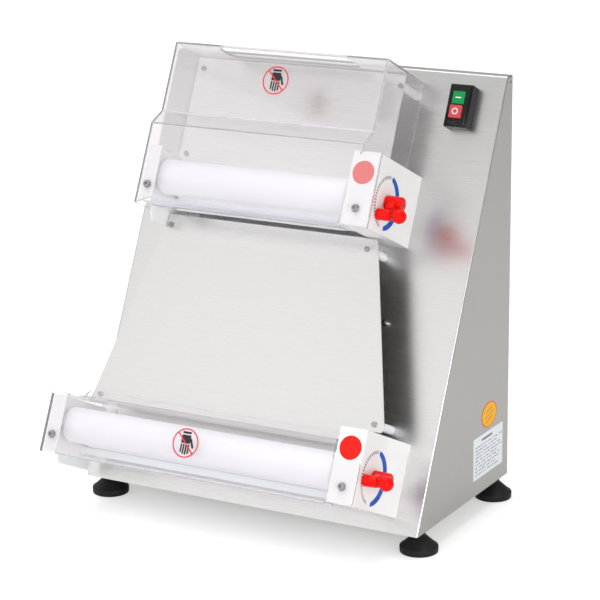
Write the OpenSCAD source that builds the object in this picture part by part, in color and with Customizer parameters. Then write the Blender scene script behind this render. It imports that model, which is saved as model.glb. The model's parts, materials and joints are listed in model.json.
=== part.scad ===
// Two-stage dough sheeter: a leaning cabinet that carries an upper and a lower pair of rollers.
// +Z is up, +X is the operator's right and -Y the front. The origin is under the middle of the
// feet. Most pieces are drawn in the cabinet front's own frame: x across the front, y up along
// the slope and z straight out of it (called out in the names below).

/* [Cabinet] */
// Width of the cabinet
body_w = 530; // [500:1:650]
// Depth of the cabinet at its base
body_depth = 287; // [250:1:350]
// Depth of the cabinet at its top
top_depth = 16; // [12:1:60]
// Height of the cabinet without its feet
body_h = 576; // [540:1:700]
// Thickness of the cabinet's steel sheet
sheet_t = 1.5; // [1:0.1:2.5]
// Thickness of the base plate
base_t = 2; // [1.5:0.1:4]
// Height of the feet below the cabinet
foot_h = 34; // [25:1:45]
// Diameter of a rubber foot
foot_d = 53; // [40:1:60]
// Distance from a foot's centre to the side of the cabinet
foot_inset = 16; // [12:1:40]

/* [Roller units] */
// Height of the lower unit's end boxes along the slope
lower_y = 20.5; // [14:0.5:40]
// Height of the upper unit's end boxes along the slope
upper_y = 384.5; // [340:0.5:400]
// Width of the lower roller chamber over its end plates
lower_w = 445; // [400:1:460]
// Width of the upper roller chamber over its end plates
upper_w = 317; // [280:1:340]
// Middle of the lower roller chamber
lower_mid_x = -33; // [-45:1:-20]
// Middle of the upper roller chamber
upper_mid_x = -30; // [-45:1:-20]
// Diameter of a roller
roller_d = 50; // [44:1:51]
// Radius at the ends of a roller
roller_edge_r = 8; // [2:0.5:12]
// Space between a roller and the left end plate
left_space = 11; // [8:0.5:20]
// Space between a roller and the gear box
right_space = 6.5; // [5.5:0.5:12]
// Distance of the rear rollers' axis from the cabinet front
rear_out = 45; // [40:0.5:50]
// Height of the roller axes above the bottom of their gear box
axis_up = 42.5; // [36:0.5:60]
// Smallest gap between the rollers of a pair
gap_min = 0.5; // [0.3:0.1:1]
// Largest gap between the rollers of a pair
gap_max = 5.5; // [4:0.1:6]

/* [Gear boxes and end plates] */
// Width of a gear box
box_w = 39; // [38:0.5:50]
// Height of a gear box along the slope
box_h = 100; // [90:1:120]
// Depth of a gear box out of the cabinet front
box_out = 134.5; // [128:0.5:150]
// Wall of a gear box and of an end plate
wall_t = 2; // [1.5:0.1:2.5]
// Height of a left end plate along the slope
end_h = 79; // [74:1:95]
// How far the lower end plate's side hangs below its front flange
lower_skirt = 14; // [0:0.5:16]
// How far the upper end plate's side hangs below its front flange
upper_skirt = 20; // [0:0.5:24]
// Width of a left end plate's front flange
strip_w = 19.6; // [16:0.2:24]
// Height of the cover screws above the bottom of the boxes
cover_screw_up = 22.5; // [14:0.5:30]

/* [Drive] */
// Diameter of a rear roller's shaft
shaft_d = 16; // [12:1:18]
// Diameter of a front roller's fixed axle
axle_d = 12; // [10:1:14]
// Outer diameter of a front roller's core tube
core_d = 22; // [18:1:24]
// Running clearance of a shaft in its bore, on the radius
run_gap = 0.08; // [0.05:0.01:0.1]
// Number of teeth on a gear
teeth = 15; // [13:2:17]
// Width of a gear
gear_w = 10; // [6:0.5:11]
// Height of a gear tooth
tooth_h = 7.7; // [7:0.1:8]
// Thickness of a gear tooth at its pitch line
tooth_t = 4.3; // [3.8:0.1:4.4]
// Radius of a belt pulley
pulley_r = 16; // [12:0.5:18]
// Width of a belt pulley
pulley_w = 9; // [7:0.5:10]
// Thickness of a belt
belt_t = 3; // [2:0.5:4]
// Diameter of the motor
motor_d = 120; // [90:1:125]
// Length of the motor
motor_l = 180; // [140:1:220]

/* [Gap levers] */
// Distance of a lever's shaft behind the front roller's axis at the smallest gap
dial_back = 5.5; // [1.5:0.5:9.5]
// Radius from a lever's shaft to its index plunger
index_r = 29; // [26:0.5:32]
// Lowest position of a lever, in degrees from straight out
dial_low = -75; // [-80:1:-60]
// Highest position of a lever, in degrees from straight out
dial_high = 77; // [60:1:80]
// Angle between index positions
index_step = 8; // [8:1:12]
// Stored position of the lower lever
lower_set = -11; // [-60:1:60]
// Stored position of the upper lever
upper_set = -43; // [-60:1:60]
// Diameter of the lever's shaft
lever_shaft_d = 12; // [10:0.5:14]
// Diameter of the pin that rides in the cam's groove
cam_pin_d = 5; // [4:0.5:6]
// Diameter of a plunger's ball
ball_d = 20; // [16:0.5:24]
// Travel of a plunger
plunger_travel = 5; // [3:0.5:6]

/* [Covers] */
// Thickness of the clear covers
cover_t = 3; // [2:0.5:4]
// Space between the boxes' front and the covers
cover_gap = 0.5; // [0.4:0.1:2]
// Height of the hood along the slope
hood_h = 238; // [225:1:245]
// Height of the hood's lower, deeper part
hood_low_h = 115; // [106:1:130]
// Distance of the hood's upper part from the cabinet front
hood_top_out = 118.5; // [100:0.5:130]
// Width of the feed opening in the hood's top
feed_w = 208; // [150:1:260]
// Depth of the feed opening in the hood's top
feed_d = 50; // [30:1:54]

/* [Plates, switch and labels] */
// Distance of the chute's and the feed plate's face from the cabinet front
chute_out = 54; // [50:0.5:58]
// Thickness of the chute and of the feed plate
chute_t = 1.5; // [1:0.1:2]
// Diameter of a standoff
standoff_d = 12; // [9:0.5:16]
// Diameter of the plates' screws
screw_d = 4; // [3:0.5:5]
// Middle of the switch across the front
switch_x = 209; // [195:1:235]
// Middle of the switch along the slope
switch_y = 586; // [570:1:596]
// Width of the switch
switch_w = 34; // [30:1:44]
// Height of the switch
switch_h = 60; // [54:1:70]
// Depth of the switch in front of the cabinet
switch_out = 22; // [16:0.5:30]
// Depth of the switch behind the cabinet front
switch_in = 18; // [12:1:20]
// Side of a push button
button_s = 18; // [14:0.5:20]
// Travel of a push button
button_travel = 3; // [2:0.5:4]
// Diameter of a red disc
disc_d = 32; // [24:0.5:36]

/* [Hidden] */
$fn = 64;

// A small overlap that keeps cuts clean, the thickness of a label, and the gap between seated pieces
eps = 0.5;
film_t = 0.2;
seat = 0.3;
// How far the lower cover and the hood hang below the boxes
nose_drop = 3.5;
hood_drop = 5;
// Width of the cabinet's rear flanges, and the clearance round a screw
flange_w = 12;
screw_gap = 0.4;
// Studs and nuts of the feet
stud_d = 10;
nut_d = 19;
foot_nut_h = 4;
foot_floor = 12;
// Cable gland: bore, thread and hexagon, and its height above the base
gland_bore = 7;
gland_d = 15.6;
gland_hex = 22;
gland_z = 45;
gland_x = -body_w / 2 + sheet_t + 60;
// Data label and rating sticker: [distance from the back, height above the base, width, height]
label_at = [18, 23, 96, 61];
sticker_at = [38.5, 89, 50, 37];
// Levers: gap to the box, barrel, hub, and how far in the web starts; the plunger's pin
lever_gap = 0.8;
barrel_d = 16;
barrel_l = 20;
hub_d = 22;
hub_l = 24;
arm_in = 8;
pin_d = 5;
// Depth of the index holes and how far the lever's shaft stands out of the box
index_deep = 1.2;
shaft_out = 22;
// Skirt of the end plates: its nearest and farthest point from the cabinet front, and its slant
skirt_in = 17;
skirt_out = 100;
skirt_slant = 8;
// Cover screws, and their holes
cover_screw_d = 6;
cover_hole_d = cover_screw_d + screw_gap;
cover_nut_d = 2 * cover_screw_d - 1;
// The hood's slanted band, its rolled lip and the radius of its roll
band_h = 22;
hood_lip = 27;
hood_bend = 12;
// The lower cover's lip, roll, upstand, and the width of its right wall
tray_lip = 30;
tray_bend = 18;
tray_rise = 14;
tray_wall = 12;
// Depth of the pocket that a push button moves in
button_l = 10;
// The badge's and the red discs' distances below the top of the box
badge_drop = 43;
disc_drop = [26, 28.5];

// The slope of the cabinet front and its length
run = body_depth - top_depth;
lean = atan(run / body_h);
slope_l = sqrt(run * run + body_h * body_h);
cover_out = box_out + cover_gap;
nose_y = lower_y - nose_drop;
front_y = nose_y * sin(lean) - (cover_out + cover_t) * cos(lean);
foot_back_y = body_depth - foot_inset + 4 + foot_d / 2;
mid_y = (front_y + foot_back_y) / 2;

// Gap between a pair of rollers for a lever position, in millimetres
gap_per_deg = (gap_max - gap_min) / (dial_high - dial_low);
function gap_at(set) = gap_max - gap_per_deg * (set - dial_low);
function front_out(set) = rear_out + roller_d + gap_at(set);
// Distance of a lever's shaft from the cabinet front
dial_out = rear_out + roller_d + gap_min - dial_back;

// A roller unit: [bottom along slope, chamber width, chamber middle, lever position, skirt]
LOWER = [lower_y, lower_w, lower_mid_x, lower_set, lower_skirt];
UPPER = [upper_y, upper_w, upper_mid_x, upper_set, upper_skirt];
function unit_y(u) = u[0];
function axis_y(u) = u[0] + axis_up;
function left_x(u) = u[2] - u[1] / 2;
function box_x(u) = u[2] + u[1] / 2;
function face_x(u) = box_x(u) + box_w;
function set_of(u) = u[3];
function axle_out(u) = front_out(set_of(u));
function roller_x0(u) = left_x(u) + left_space;
function roller_x1(u) = box_x(u) - right_space;

// Stack of the pieces inside a gear box, from its left face
pulley_in = wall_t + 1;
gear_in = pulley_in + pulley_w + 1.5;
guide_in = gear_in + gear_w + 1.5;
cam_in = guide_in + wall_t + 1.5;
cam_w = box_w - wall_t - 1.5 - cam_in;
groove_d = cam_w - 2.5;
cam_r = 17;

// Gears: the pitch line suits the middle of the gap range
pitch_r = (roller_d + (gap_min + gap_max) / 2) / 2;
tip_r = pitch_r + tooth_h * 0.31;
root_r = tip_r - tooth_h;
pressure = 20;
base_r = pitch_r * cos(pressure);

// Places of the drive shafts behind the cabinet front, as [along slope, out]
motor_y = 200;
motor_z = base_t + motor_d / 2 + 13;
motor_at = [motor_y * sin(lean) + motor_z * cos(lean), -motor_y * cos(lean) + motor_z * sin(lean)];
motor_x1 = box_x(UPPER) + 16;
head_l = 40;
fan_l = 18;
counter_at = [axis_y(UPPER) - 12, -45];
counter_x = box_x(UPPER) + 26;
bracket_t = 3;
slot_margin = 4;

// Set positions of the screws that hold the chute and the feed plate
chute_top_y = unit_y(UPPER) - 1.5;
chute_screws = [[left_x(UPPER) + 9.5, chute_top_y - 15], [box_x(UPPER) + 5.5, chute_top_y - 15],
    [box_x(LOWER) + 6.5, unit_y(LOWER) + box_h + 15], [left_x(LOWER) + 20.5, unit_y(LOWER) + 93.5]];
hood_top_y = unit_y(UPPER) - hood_drop + hood_h;
hood_x0 = left_x(UPPER) - 2.5 - cover_t;
hood_x1 = box_x(UPPER) + 14.5;
feed_screws = [[left_x(UPPER) + 10, hood_top_y - 20], [hood_x1 - 9.5, hood_top_y - 20],
    [left_x(UPPER) + 10, unit_y(UPPER) + 87.5]];
stud_at = [box_x(UPPER) + 28.5, (chute_top_y + unit_y(LOWER) + box_h) / 2 + 27];

// The four feet, as [x, y] in the cabinet's own frame
foot_x = body_w / 2 - foot_inset;
foot_front_y = 37;
foot_back = body_depth - foot_inset + 4;
feet_at = [for (sx = [-1, 1], py = [foot_front_y, foot_back]) [sx * foot_x, py]];

function ellipse(a, b, n) = [for (i = [0:n - 1]) [a * cos(360 * i / n), b * sin(360 * i / n)]];

// Frames: upright follows the cabinet, on_front the leaning front
module upright() translate([0, -mid_y, foot_h]) children();
module on_front() upright() rotate([90 - lean, 0, 0]) children();

// Draws a shape given as [along slope, out] and extrudes it along x
module across(x, w) translate([x, 0, 0]) rotate([90, 0, 90]) linear_extrude(w) children();

// A rod along x at a place on the slope
module rod(x0, x1, at, d) translate([x0, at[0], at[1]]) rotate([0, 90, 0]) cylinder(d = d, h = x1 - x0);

module sheet_box(x0, x1, y0, y1, z0, z1) translate([x0, y0, z0]) cube([x1 - x0, y1 - y0, z1 - z0]);

module rounded_rect(w, h, r) {
    union() {
        square([w - 2 * r, h], center = true);
        square([w, h - 2 * r], center = true);
        for (sx = [-1, 1], sy = [-1, 1]) translate([sx * (w / 2 - r), sy * (h / 2 - r)]) circle(r);
    }
}

// The straight part is a hair narrower than the ends, so that the two meet at a clear edge
module round_slot(p, q, r) {
    d = q - p;
    hair = 0.01;
    for (c = [p, q]) translate(c) circle(r);
    translate(p) rotate(atan2(d[1], d[0])) translate([0, hair - r]) square([norm(d), 2 * (r - hair)]);
}

// ---- Cabinet ----

module wedge(grow_back, inset, cut_low) {
    y_at = inset / cos(lean);
    polygon([[y_at - cut_low * tan(lean), -cut_low], [body_depth + grow_back, -cut_low],
        [body_depth + grow_back, body_h - inset], [(body_h - inset) * tan(lean) + y_at, body_h - inset]]);
}

module cabinet_shell() {
    inner_w = body_w - 2 * sheet_t;
    flange_h = body_h - 3 * top_depth - base_t;
    color("gainsboro") {
        difference() {
            upright() translate([-body_w / 2, 0, 0]) rotate([90, 0, 90]) linear_extrude(body_w)
                wedge(0, 0, 0);
            upright() translate([-inner_w / 2, 0, 0]) rotate([90, 0, 90]) linear_extrude(inner_w)
                wedge(eps, sheet_t, eps);
            on_front() {
                belt_slot(LOWER, motor_at);
                belt_slot(UPPER, counter_at);
                sheet_box(switch_x - switch_w / 2 + 3, switch_x + switch_w / 2 - 3,
                    switch_y - switch_h / 2 + 4, switch_y + switch_h / 2 - 4, -eps - sheet_t, eps);
                for (p = concat(chute_screws, feed_screws)) translate([p[0], p[1], -sheet_t - eps])
                    cylinder(d = screw_d + screw_gap, h = sheet_t + 2 * eps);
            }
            upright() translate([inner_w / 2 - eps, body_depth - 6, body_h - 9]) rotate([0, 90, 0])
                cylinder(d = 3.5, h = sheet_t + 2 * eps);
        }
        for (s = [-1, 1]) upright() difference() {
            mirror([s < 0 ? 1 : 0, 0, 0])
                translate([inner_w / 2 - flange_w, body_depth - 2 * sheet_t, base_t])
                cube([flange_w + sheet_t / 2, sheet_t, flange_h]);
            for (p = back_screws_at()) translate([p[0], body_depth, p[1]]) rotate([90, 0, 0])
                cylinder(d = screw_d, h = 3 * sheet_t);
        }
    }
}

// Opening in the cabinet front behind a gear box, where its belt runs through
module belt_slot(u, from) {
    at = [axis_y(u), rear_out];
    share = rear_out / (rear_out - from[1]);
    y_mid = at[0] + (from[0] - at[0]) * share;
    half = (pulley_r + belt_t + slot_margin) * norm(from - at) / (at[1] - from[1]);
    x0 = box_x(u) + pulley_in - 1;
    sheet_box(x0, x0 + pulley_w + 2, y_mid - half, y_mid + half, -sheet_t - eps, eps);
}

module back_panel() {
    w = body_w - 2 * sheet_t;
    h = body_h - sheet_t - base_t;
    vent_w = 60;
    vent_pitch = 14;
    color("gainsboro") upright() difference() {
        translate([-w / 2, body_depth - sheet_t, base_t]) cube([w, sheet_t, h]);
        for (sx = [-1, 1], i = [0:5]) translate([sx * w / 4 - vent_w / 2, body_depth - sheet_t - eps,
            h * 0.22 + i * vent_pitch]) cube([vent_w, sheet_t + 2 * eps, 4]);
        for (p = back_screws_at()) translate([p[0], body_depth + eps, p[1]]) rotate([90, 0, 0])
            cylinder(d = screw_d + screw_gap, h = sheet_t + 2 * eps);
        translate([gland_x, body_depth + eps, gland_z]) rotate([90, 0, 0])
            cylinder(d = gland_d + screw_gap, h = sheet_t + 2 * eps);
    }
}

function back_screws_at() = [for (sx = [-1, 1], i = [0:2])
    [sx * (body_w / 2 - sheet_t - 6), 20 + i * (body_h - 100) / 2]];

module back_screws() {
    color("silver") upright() for (p = back_screws_at()) translate([p[0], body_depth, p[1]])
        rotate([-90, 0, 0]) union() {
            cylinder(d = 2 * screw_d, h = 2.2);
            translate([0, 0, -6]) cylinder(d = screw_d - 1, h = 7);
        }
}

module base_plate() {
    w = body_w - 2 * sheet_t;
    y0 = sheet_t / cos(lean) + base_t * tan(lean);
    color("silver") upright() difference() {
        translate([-w / 2, y0, 0]) cube([w, body_depth - y0, base_t]);
        for (p = feet_at) translate([p[0], p[1], -eps])
            cylinder(d = stud_d + screw_gap, h = base_t + 2 * eps);
    }
}

// A thick rim, a cone and a neck, with a blind hole for the stud
module rubber_feet() {
    r = foot_d / 2;
    rim_h = 9;
    neck_r = 8.5;
    top = foot_h - foot_nut_h;
    hole_r = stud_d / 2 + 0.1;
    color("#1b1b1b") for (p = feet_at) upright() translate([p[0], p[1], -foot_h]) rotate_extrude()
        polygon([[0, 0], [r - 1.5, 0], [r, 1.5], [r - 0.5, rim_h], [r - 2, rim_h + 1.5],
            [neck_r + 1, top - 4.5], [neck_r, top - 3], [neck_r, top], [hole_r, top],
            [hole_r, foot_floor], [0, foot_floor]]);
}

module foot_studs() {
    color("silver") for (p = feet_at) upright() translate([p[0], p[1], 0]) union() {
        translate([0, 0, foot_floor - foot_h]) cylinder(d = stud_d, h = foot_h);
        translate([0, 0, base_t]) cylinder(d = nut_d, h = 7, $fn = 6);
        translate([0, 0, -foot_nut_h]) cylinder(d = nut_d, h = foot_nut_h, $fn = 6);
    }
}

module cable_gland() {
    reach = 12;
    nut = 5;
    color("#262626") upright() translate([gland_x, body_depth, gland_z]) rotate([-90, 0, 0]) difference() {
        union() {
            cylinder(d = gland_hex, h = reach / 2, $fn = 6);
            cylinder(d = gland_hex - 4, h = reach);
            translate([0, 0, -reach]) cylinder(d = gland_d, h = reach + 1);
            translate([0, 0, -sheet_t - nut]) cylinder(d = gland_hex, h = nut, $fn = 6);
        }
        translate([0, 0, -reach - eps]) cylinder(d = gland_bore, h = 2 * (reach + eps));
    }
}

// ---- Plates that guide the dough ----

module chute_plate() {
    x0 = left_x(LOWER) + 5;
    y_low = unit_y(LOWER) + end_h + 1.5;
    y_box = unit_y(LOWER) + box_h + 5;
    y_skirt = unit_y(UPPER) - upper_skirt - 1.5;
    x_in = left_x(UPPER) + wall_t + 1;
    color("gainsboro") on_front() translate([0, 0, chute_out - chute_t]) linear_extrude(chute_t)
        difference() {
            polygon([[x_in, chute_top_y], [box_x(UPPER) + 19, chute_top_y],
                [box_x(LOWER) + 22.5, y_box + 6], [box_x(LOWER) + 19, y_box], [box_x(LOWER) - 3, y_box],
                [box_x(LOWER) - 3, y_low], [x0 + 2, y_low], [x0, y_low + 2],
                [left_x(UPPER) - 0.5, y_skirt], [x_in, y_skirt]]);
            for (p = chute_screws) translate(p) circle(d = screw_d + screw_gap);
        }
}

module feed_plate() {
    y0 = axis_y(UPPER) + roller_d / 2 + 4;
    y_end = unit_y(UPPER) + end_h + 1.5;
    y_box = unit_y(UPPER) + box_h + 1.5;
    x_in = left_x(UPPER) + wall_t + 1;
    color("gainsboro") on_front() translate([0, 0, chute_out - chute_t]) linear_extrude(chute_t)
        difference() {
            polygon([[x_in, y0], [box_x(UPPER) - 1, y0], [box_x(UPPER) - 1, y_box],
                [hood_x1 - cover_t - 1, y_box], [hood_x1 - cover_t - 1, hood_top_y - cover_t - 1],
                [left_x(UPPER) - 1, hood_top_y - cover_t - 1], [left_x(UPPER) - 1, y_end], [x_in, y_end]]);
            for (p = feed_screws) translate(p) circle(d = screw_d + screw_gap);
        }
}

module standoffs() {
    color("whitesmoke") on_front() for (p = concat(chute_screws, feed_screws)) translate([p[0], p[1], 0])
        difference() {
            cylinder(d = standoff_d, h = chute_out - chute_t);
            translate([0, 0, -eps]) cylinder(d = screw_d + screw_gap, h = chute_out);
        }
}

// Button screws through the plates and standoffs, and a stud with a nut beside the chute
module plate_screws() {
    tail = 8;
    head_h = 2;
    nut_h = 3.2;
    color("silver") on_front() {
        for (p = concat(chute_screws, feed_screws)) translate([p[0], p[1], 0]) union() {
            translate([0, 0, -tail]) cylinder(d = screw_d, h = tail + chute_out + eps);
            translate([0, 0, chute_out]) cylinder(d = 1.9 * screw_d, h = head_h);
            translate([0, 0, -sheet_t - nut_h]) cylinder(d = 2 * screw_d, h = nut_h, $fn = 6);
        }
        translate([stud_at[0], stud_at[1], 0]) union() {
            cylinder(d = screw_d, h = tail);
            cylinder(d = 2 * screw_d, h = tail - 2);
        }
    }
}

// ---- Labels and switch ----

module data_label() {
    size = [film_t, label_at[2], label_at[3]];
    color("white") upright() translate([body_w / 2, body_depth - label_at[0] - label_at[2], label_at[1]])
        cube(size);
}

module rating_sticker() {
    a = sticker_at[2] / 2;
    b = sticker_at[3] / 2;
    color("gold") upright() translate([body_w / 2, body_depth - sticker_at[0] - a, sticker_at[1] + b])
        rotate([90, 0, 90]) linear_extrude(film_t) polygon(ellipse(a, b, 48));
}

module switch_housing() {
    chamfer = 4;
    pocket = switch_out - 1.5 - button_l;
    body = [switch_w - 6.6, switch_h - 8.6];
    color("#1d1d1f") on_front() translate([switch_x, switch_y, 0]) difference() {
        union() {
            translate([-switch_w / 2, -switch_h / 2, 0]) cube([switch_w, switch_h, switch_out - chamfer]);
            translate([-switch_w / 2 + chamfer / 2, -switch_h / 2 + chamfer / 2, 0])
                cube([switch_w - chamfer, switch_h - chamfer, switch_out]);
            translate([-body[0] / 2, -body[1] / 2, -switch_in]) cube([body[0], body[1], switch_in + 1]);
        }
        for (s = [-1, 1]) translate([-button_s / 2 - seat, s * (button_s / 2 + 1) - button_s / 2 - seat,
            pocket]) cube([button_s + 2 * seat, button_s + 2 * seat, 2 * button_l]);
    }
}

module push_button(side, proud) {
    gap = 1.2;
    z0 = switch_out - 1.5 - button_l + button_travel + gap;
    on_front() translate([switch_x - button_s / 2, switch_y + side * (button_s / 2 + 1) - button_s / 2, z0])
        cube([button_s, button_s, switch_out + proud - z0]);
}

module start_button() { color("green") push_button(1, 1); }
module stop_button() { color("red") push_button(-1, 4); }

// ---- Drive behind the front ----

// Motor with its gear head at the right and its fan cover at the left
module motor() {
    color("dimgray") on_front() difference() {
        union() {
            rod(motor_x1 - motor_l, motor_x1 - head_l, motor_at, motor_d);
            rod(motor_x1 - head_l, motor_x1, motor_at, motor_d * 0.75);
            rod(motor_x1 - motor_l - fan_l, motor_x1 - motor_l, motor_at, motor_d * 0.9);
        }
        rod(motor_x1 - head_l + 2, motor_x1 + eps, motor_at, shaft_d + 2 * run_gap);
    }
}

module motor_cradle() {
    l = motor_l - 60;
    x0 = motor_x1 - head_l - 10 - l;
    rib_t = 8;
    sole_w = motor_d * 0.92;
    rib_w = motor_d * 0.75;
    color("slategray") upright() difference() {
        union() {
            translate([x0, motor_y - sole_w / 2, base_t]) cube([l, sole_w, 4]);
            for (x = [x0, x0 + l - rib_t]) translate([x, motor_y - rib_w / 2, base_t])
                cube([rib_t, rib_w, motor_z - base_t - motor_d * 0.25]);
        }
        translate([x0 - 10, motor_y, motor_z]) rotate([0, 90, 0]) cylinder(d = motor_d + seat, h = l + 20);
    }
}

module pulley(x, at, bore) {
    flange = 1;
    difference() {
        union() {
            rod(x, x + pulley_w, at, 2 * pulley_r);
            for (f = [x, x + pulley_w - flange]) rod(f, f + flange, at, 2 * (pulley_r + belt_t + 1));
        }
        if (bore > 0) rod(x - eps, x + pulley_w + eps, at, bore);
    }
}

// Drive shaft with the lower unit's pulley and the countershaft's pulley
module motor_shaft() {
    color("silver") on_front() union() {
        rod(box_x(UPPER) - 12, box_x(LOWER) + pulley_in + pulley_w + 2, motor_at, shaft_d);
        pulley(box_x(LOWER) + pulley_in, motor_at, 0);
        pulley(counter_x, motor_at, 0);
    }
}

module countershaft() {
    color("silver") on_front() union() {
        rod(box_x(UPPER) - 8, counter_x + pulley_w + 13, counter_at, shaft_d);
        pulley(box_x(UPPER) + pulley_in, counter_at, 0);
        pulley(counter_x, counter_at, 0);
    }
}

module counter_bracket() {
    x0 = box_x(UPPER) - 8;
    x1 = counter_x + pulley_w + 13;
    half = 34;
    color("slategray") on_front() difference() {
        union() {
            sheet_box(x0, x1, counter_at[0] - half, counter_at[0] + half, -sheet_t - bracket_t, -sheet_t);
            for (x = [x0, x1 - bracket_t]) sheet_box(x, x + bracket_t, counter_at[0] - half,
                counter_at[0] + half, counter_at[1] - shaft_d, -sheet_t);
        }
        rod(x0 - eps, x1 + eps, counter_at, shaft_d + 2 * run_gap);
        sheet_box(x0 + bracket_t + 2, x1 - bracket_t - 2, counter_at[0] - half + 4,
            counter_at[0] + half - 4, -sheet_t - bracket_t - eps, -sheet_t + eps);
    }
}

module capacitor() {
    d = 45;
    strap = [60, 30, 3];
    color("whitesmoke") upright() translate([-body_w / 4, motor_y, base_t]) union() {
        cylinder(d = d, h = 2 * d);
        translate([-strap[0] / 2, -strap[1] / 2, 0]) cube(strap);
    }
}

// A flat belt round two equal pulleys
module belt(x, p, q) {
    side = 1.2;
    inner = pulley_r + seat;
    color("#2a2a2a") on_front() across(x + side, pulley_w - 2 * side) difference() {
        round_slot(p, q, inner + belt_t);
        round_slot(p, q, inner);
    }
}

module motor_belt() { belt(counter_x, motor_at, counter_at); }
module lower_belt() { belt(box_x(LOWER) + pulley_in, motor_at, [axis_y(LOWER), rear_out]); }
module upper_belt() { belt(box_x(UPPER) + pulley_in, counter_at, [axis_y(UPPER), rear_out]); }

// ---- One roller unit ----

module gear_box(u) {
    y0 = unit_y(u);
    x0 = box_x(u);
    x1 = face_x(u);
    travel = gap_max - gap_min;
    out_min = rear_out + roller_d + gap_min;
    color("#e9e9e6") on_front() difference() {
        sheet_box(x0, x1, y0, y0 + box_h, 0, box_out);
        sheet_box(x0 + wall_t, x1 - wall_t, y0 + wall_t, y0 + box_h - wall_t, -eps, box_out - wall_t);
        rod(x0 - eps, x0 + wall_t + eps, [axis_y(u), rear_out], shaft_d + 4);
        across(x0 - eps, wall_t + 2 * eps) round_slot([axis_y(u), out_min], [axis_y(u), out_min + travel],
            core_d / 2 + 1);
        rod(x1 - wall_t - eps, x1 + eps, [axis_y(u), dial_out], lever_shaft_d + 2 * run_gap);
        for (a = [dial_low:index_step:dial_high]) rod(x1 - index_deep, x1 + eps,
            [axis_y(u) + index_r * sin(a), dial_out + index_r * cos(a)], 3.2);
        translate([cover_screws_x(u)[1], y0 + cover_screw_up, box_out - wall_t - eps])
            cylinder(d = cover_hole_d, h = wall_t + 2 * eps);
    }
}

module end_plate(u) {
    y0 = unit_y(u);
    y_skirt = y0 - u[4];
    x0 = left_x(u);
    out_min = rear_out + roller_d + gap_min;
    flat = axle_d - 2;
    color("#e9e9e6") on_front() difference() {
        union() {
            sheet_box(x0, x0 + wall_t, y0, y0 + end_h, 0, box_out);
            across(x0, wall_t) polygon([[y0 + eps, skirt_in], [y_skirt, skirt_in],
                [y_skirt, skirt_out - skirt_slant], [y_skirt + skirt_slant, skirt_out],
                [y0 + eps, skirt_out]]);
            sheet_box(x0, x0 + strip_w, y0, y0 + end_h, box_out - wall_t, box_out);
            sheet_box(x0, x0 + strip_w, y0, y0 + end_h, 0, wall_t);
        }
        rod(x0 - eps, x0 + wall_t + eps, [axis_y(u), rear_out], shaft_d + 4);
        sheet_box(x0 - eps, x0 + wall_t + eps, axis_y(u) - flat / 2 - 0.2, axis_y(u) + flat / 2 + 0.2,
            out_min - axle_d / 2 - 0.4, out_min + gap_max - gap_min + axle_d / 2 + 0.4);
        translate([cover_screws_x(u)[0], y0 + cover_screw_up, box_out - wall_t - eps])
            cylinder(d = cover_hole_d, h = wall_t + 2 * eps);
    }
}

module guide_plate(u) {
    x0 = box_x(u) + guide_in;
    out_min = rear_out + roller_d + gap_min;
    flat = axle_d - 2;
    y0 = unit_y(u) + wall_t;
    y1 = unit_y(u) + box_h - wall_t;
    color("lightsteelblue") on_front() difference() {
        sheet_box(x0, x0 + wall_t, y0, y1, 12, box_out - wall_t);
        rod(x0 - eps, x0 + wall_t + eps, [axis_y(u), rear_out], shaft_d + 4);
        sheet_box(x0 - eps, x0 + wall_t + eps, axis_y(u) - flat / 2 - 0.2, axis_y(u) + flat / 2 + 0.2,
            out_min - axle_d / 2 - 0.4, out_min + gap_max - gap_min + axle_d / 2 + 0.4);
    }
}

// Flanged bushes of the rear shaft: in the end plate, the box's left wall and the guide plate
module bushes(u) {
    at = [axis_y(u), rear_out];
    spots = [[left_x(u), left_x(u) + wall_t, 2.5], [box_x(u), box_x(u) - 2.5, 2.5],
        [box_x(u) + guide_in, box_x(u) + guide_in + wall_t, 1]];
    color("goldenrod") on_front() for (s = spots) difference() {
        union() {
            rod(s[0], s[0] + wall_t, at, shaft_d + 4);
            rod(s[1], s[1] + s[2], at, shaft_d + 10);
        }
        rod(min(s[0], s[1]) - eps, s[0] + wall_t + 3, at, shaft_d + 2 * run_gap);
    }
}

module scraper(u) {
    tip = axis_y(u) - roller_d / 2 - 0.6;
    color("whitesmoke") on_front() sheet_box(left_x(u) + wall_t, box_x(u), tip - 10, tip,
        rear_out - 1.5, rear_out + 1.5);
}

// A roller sleeve with rounded ends, centred on its axis
module roller(u, out, bore) {
    r = roller_d / 2;
    l = roller_x1(u) - roller_x0(u);
    e = roller_edge_r;
    color("white") on_front() translate([roller_x0(u), axis_y(u), out]) rotate([0, 90, 0])
        rotate_extrude($fn = 96) difference() {
            union() {
                translate([bore / 2, 0]) square([r - e - bore / 2, l]);
                translate([bore / 2, e]) square([r - bore / 2, l - 2 * e]);
                for (z = [e, l - e]) translate([r - e, z]) circle(e, $fn = 48);
            }
            translate([0, -eps]) square([bore / 2, l + 2 * eps]);
        }
}

// Involute gear: points of one flank, from the root line to the tip
function inv(r) = r <= base_r ? 0 : sqrt(r * r / (base_r * base_r) - 1) * 180 / PI - acos(base_r / r);
function half_at(r) = tooth_t / 2 / pitch_r * 180 / PI + inv(pitch_r) - inv(r);
function flank(side, a) = [for (i = [0:6]) let (r = side > 0 ? tip_r - (tip_r - root_r) * i / 6
    : root_r + (tip_r - root_r) * i / 6) r * [cos(a + side * half_at(r)), sin(a + side * half_at(r))]];

module gear_shape() {
    polygon([for (i = [0:teeth - 1]) each concat(flank(-1, i * 360 / teeth), flank(1, i * 360 / teeth))]);
}

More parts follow.
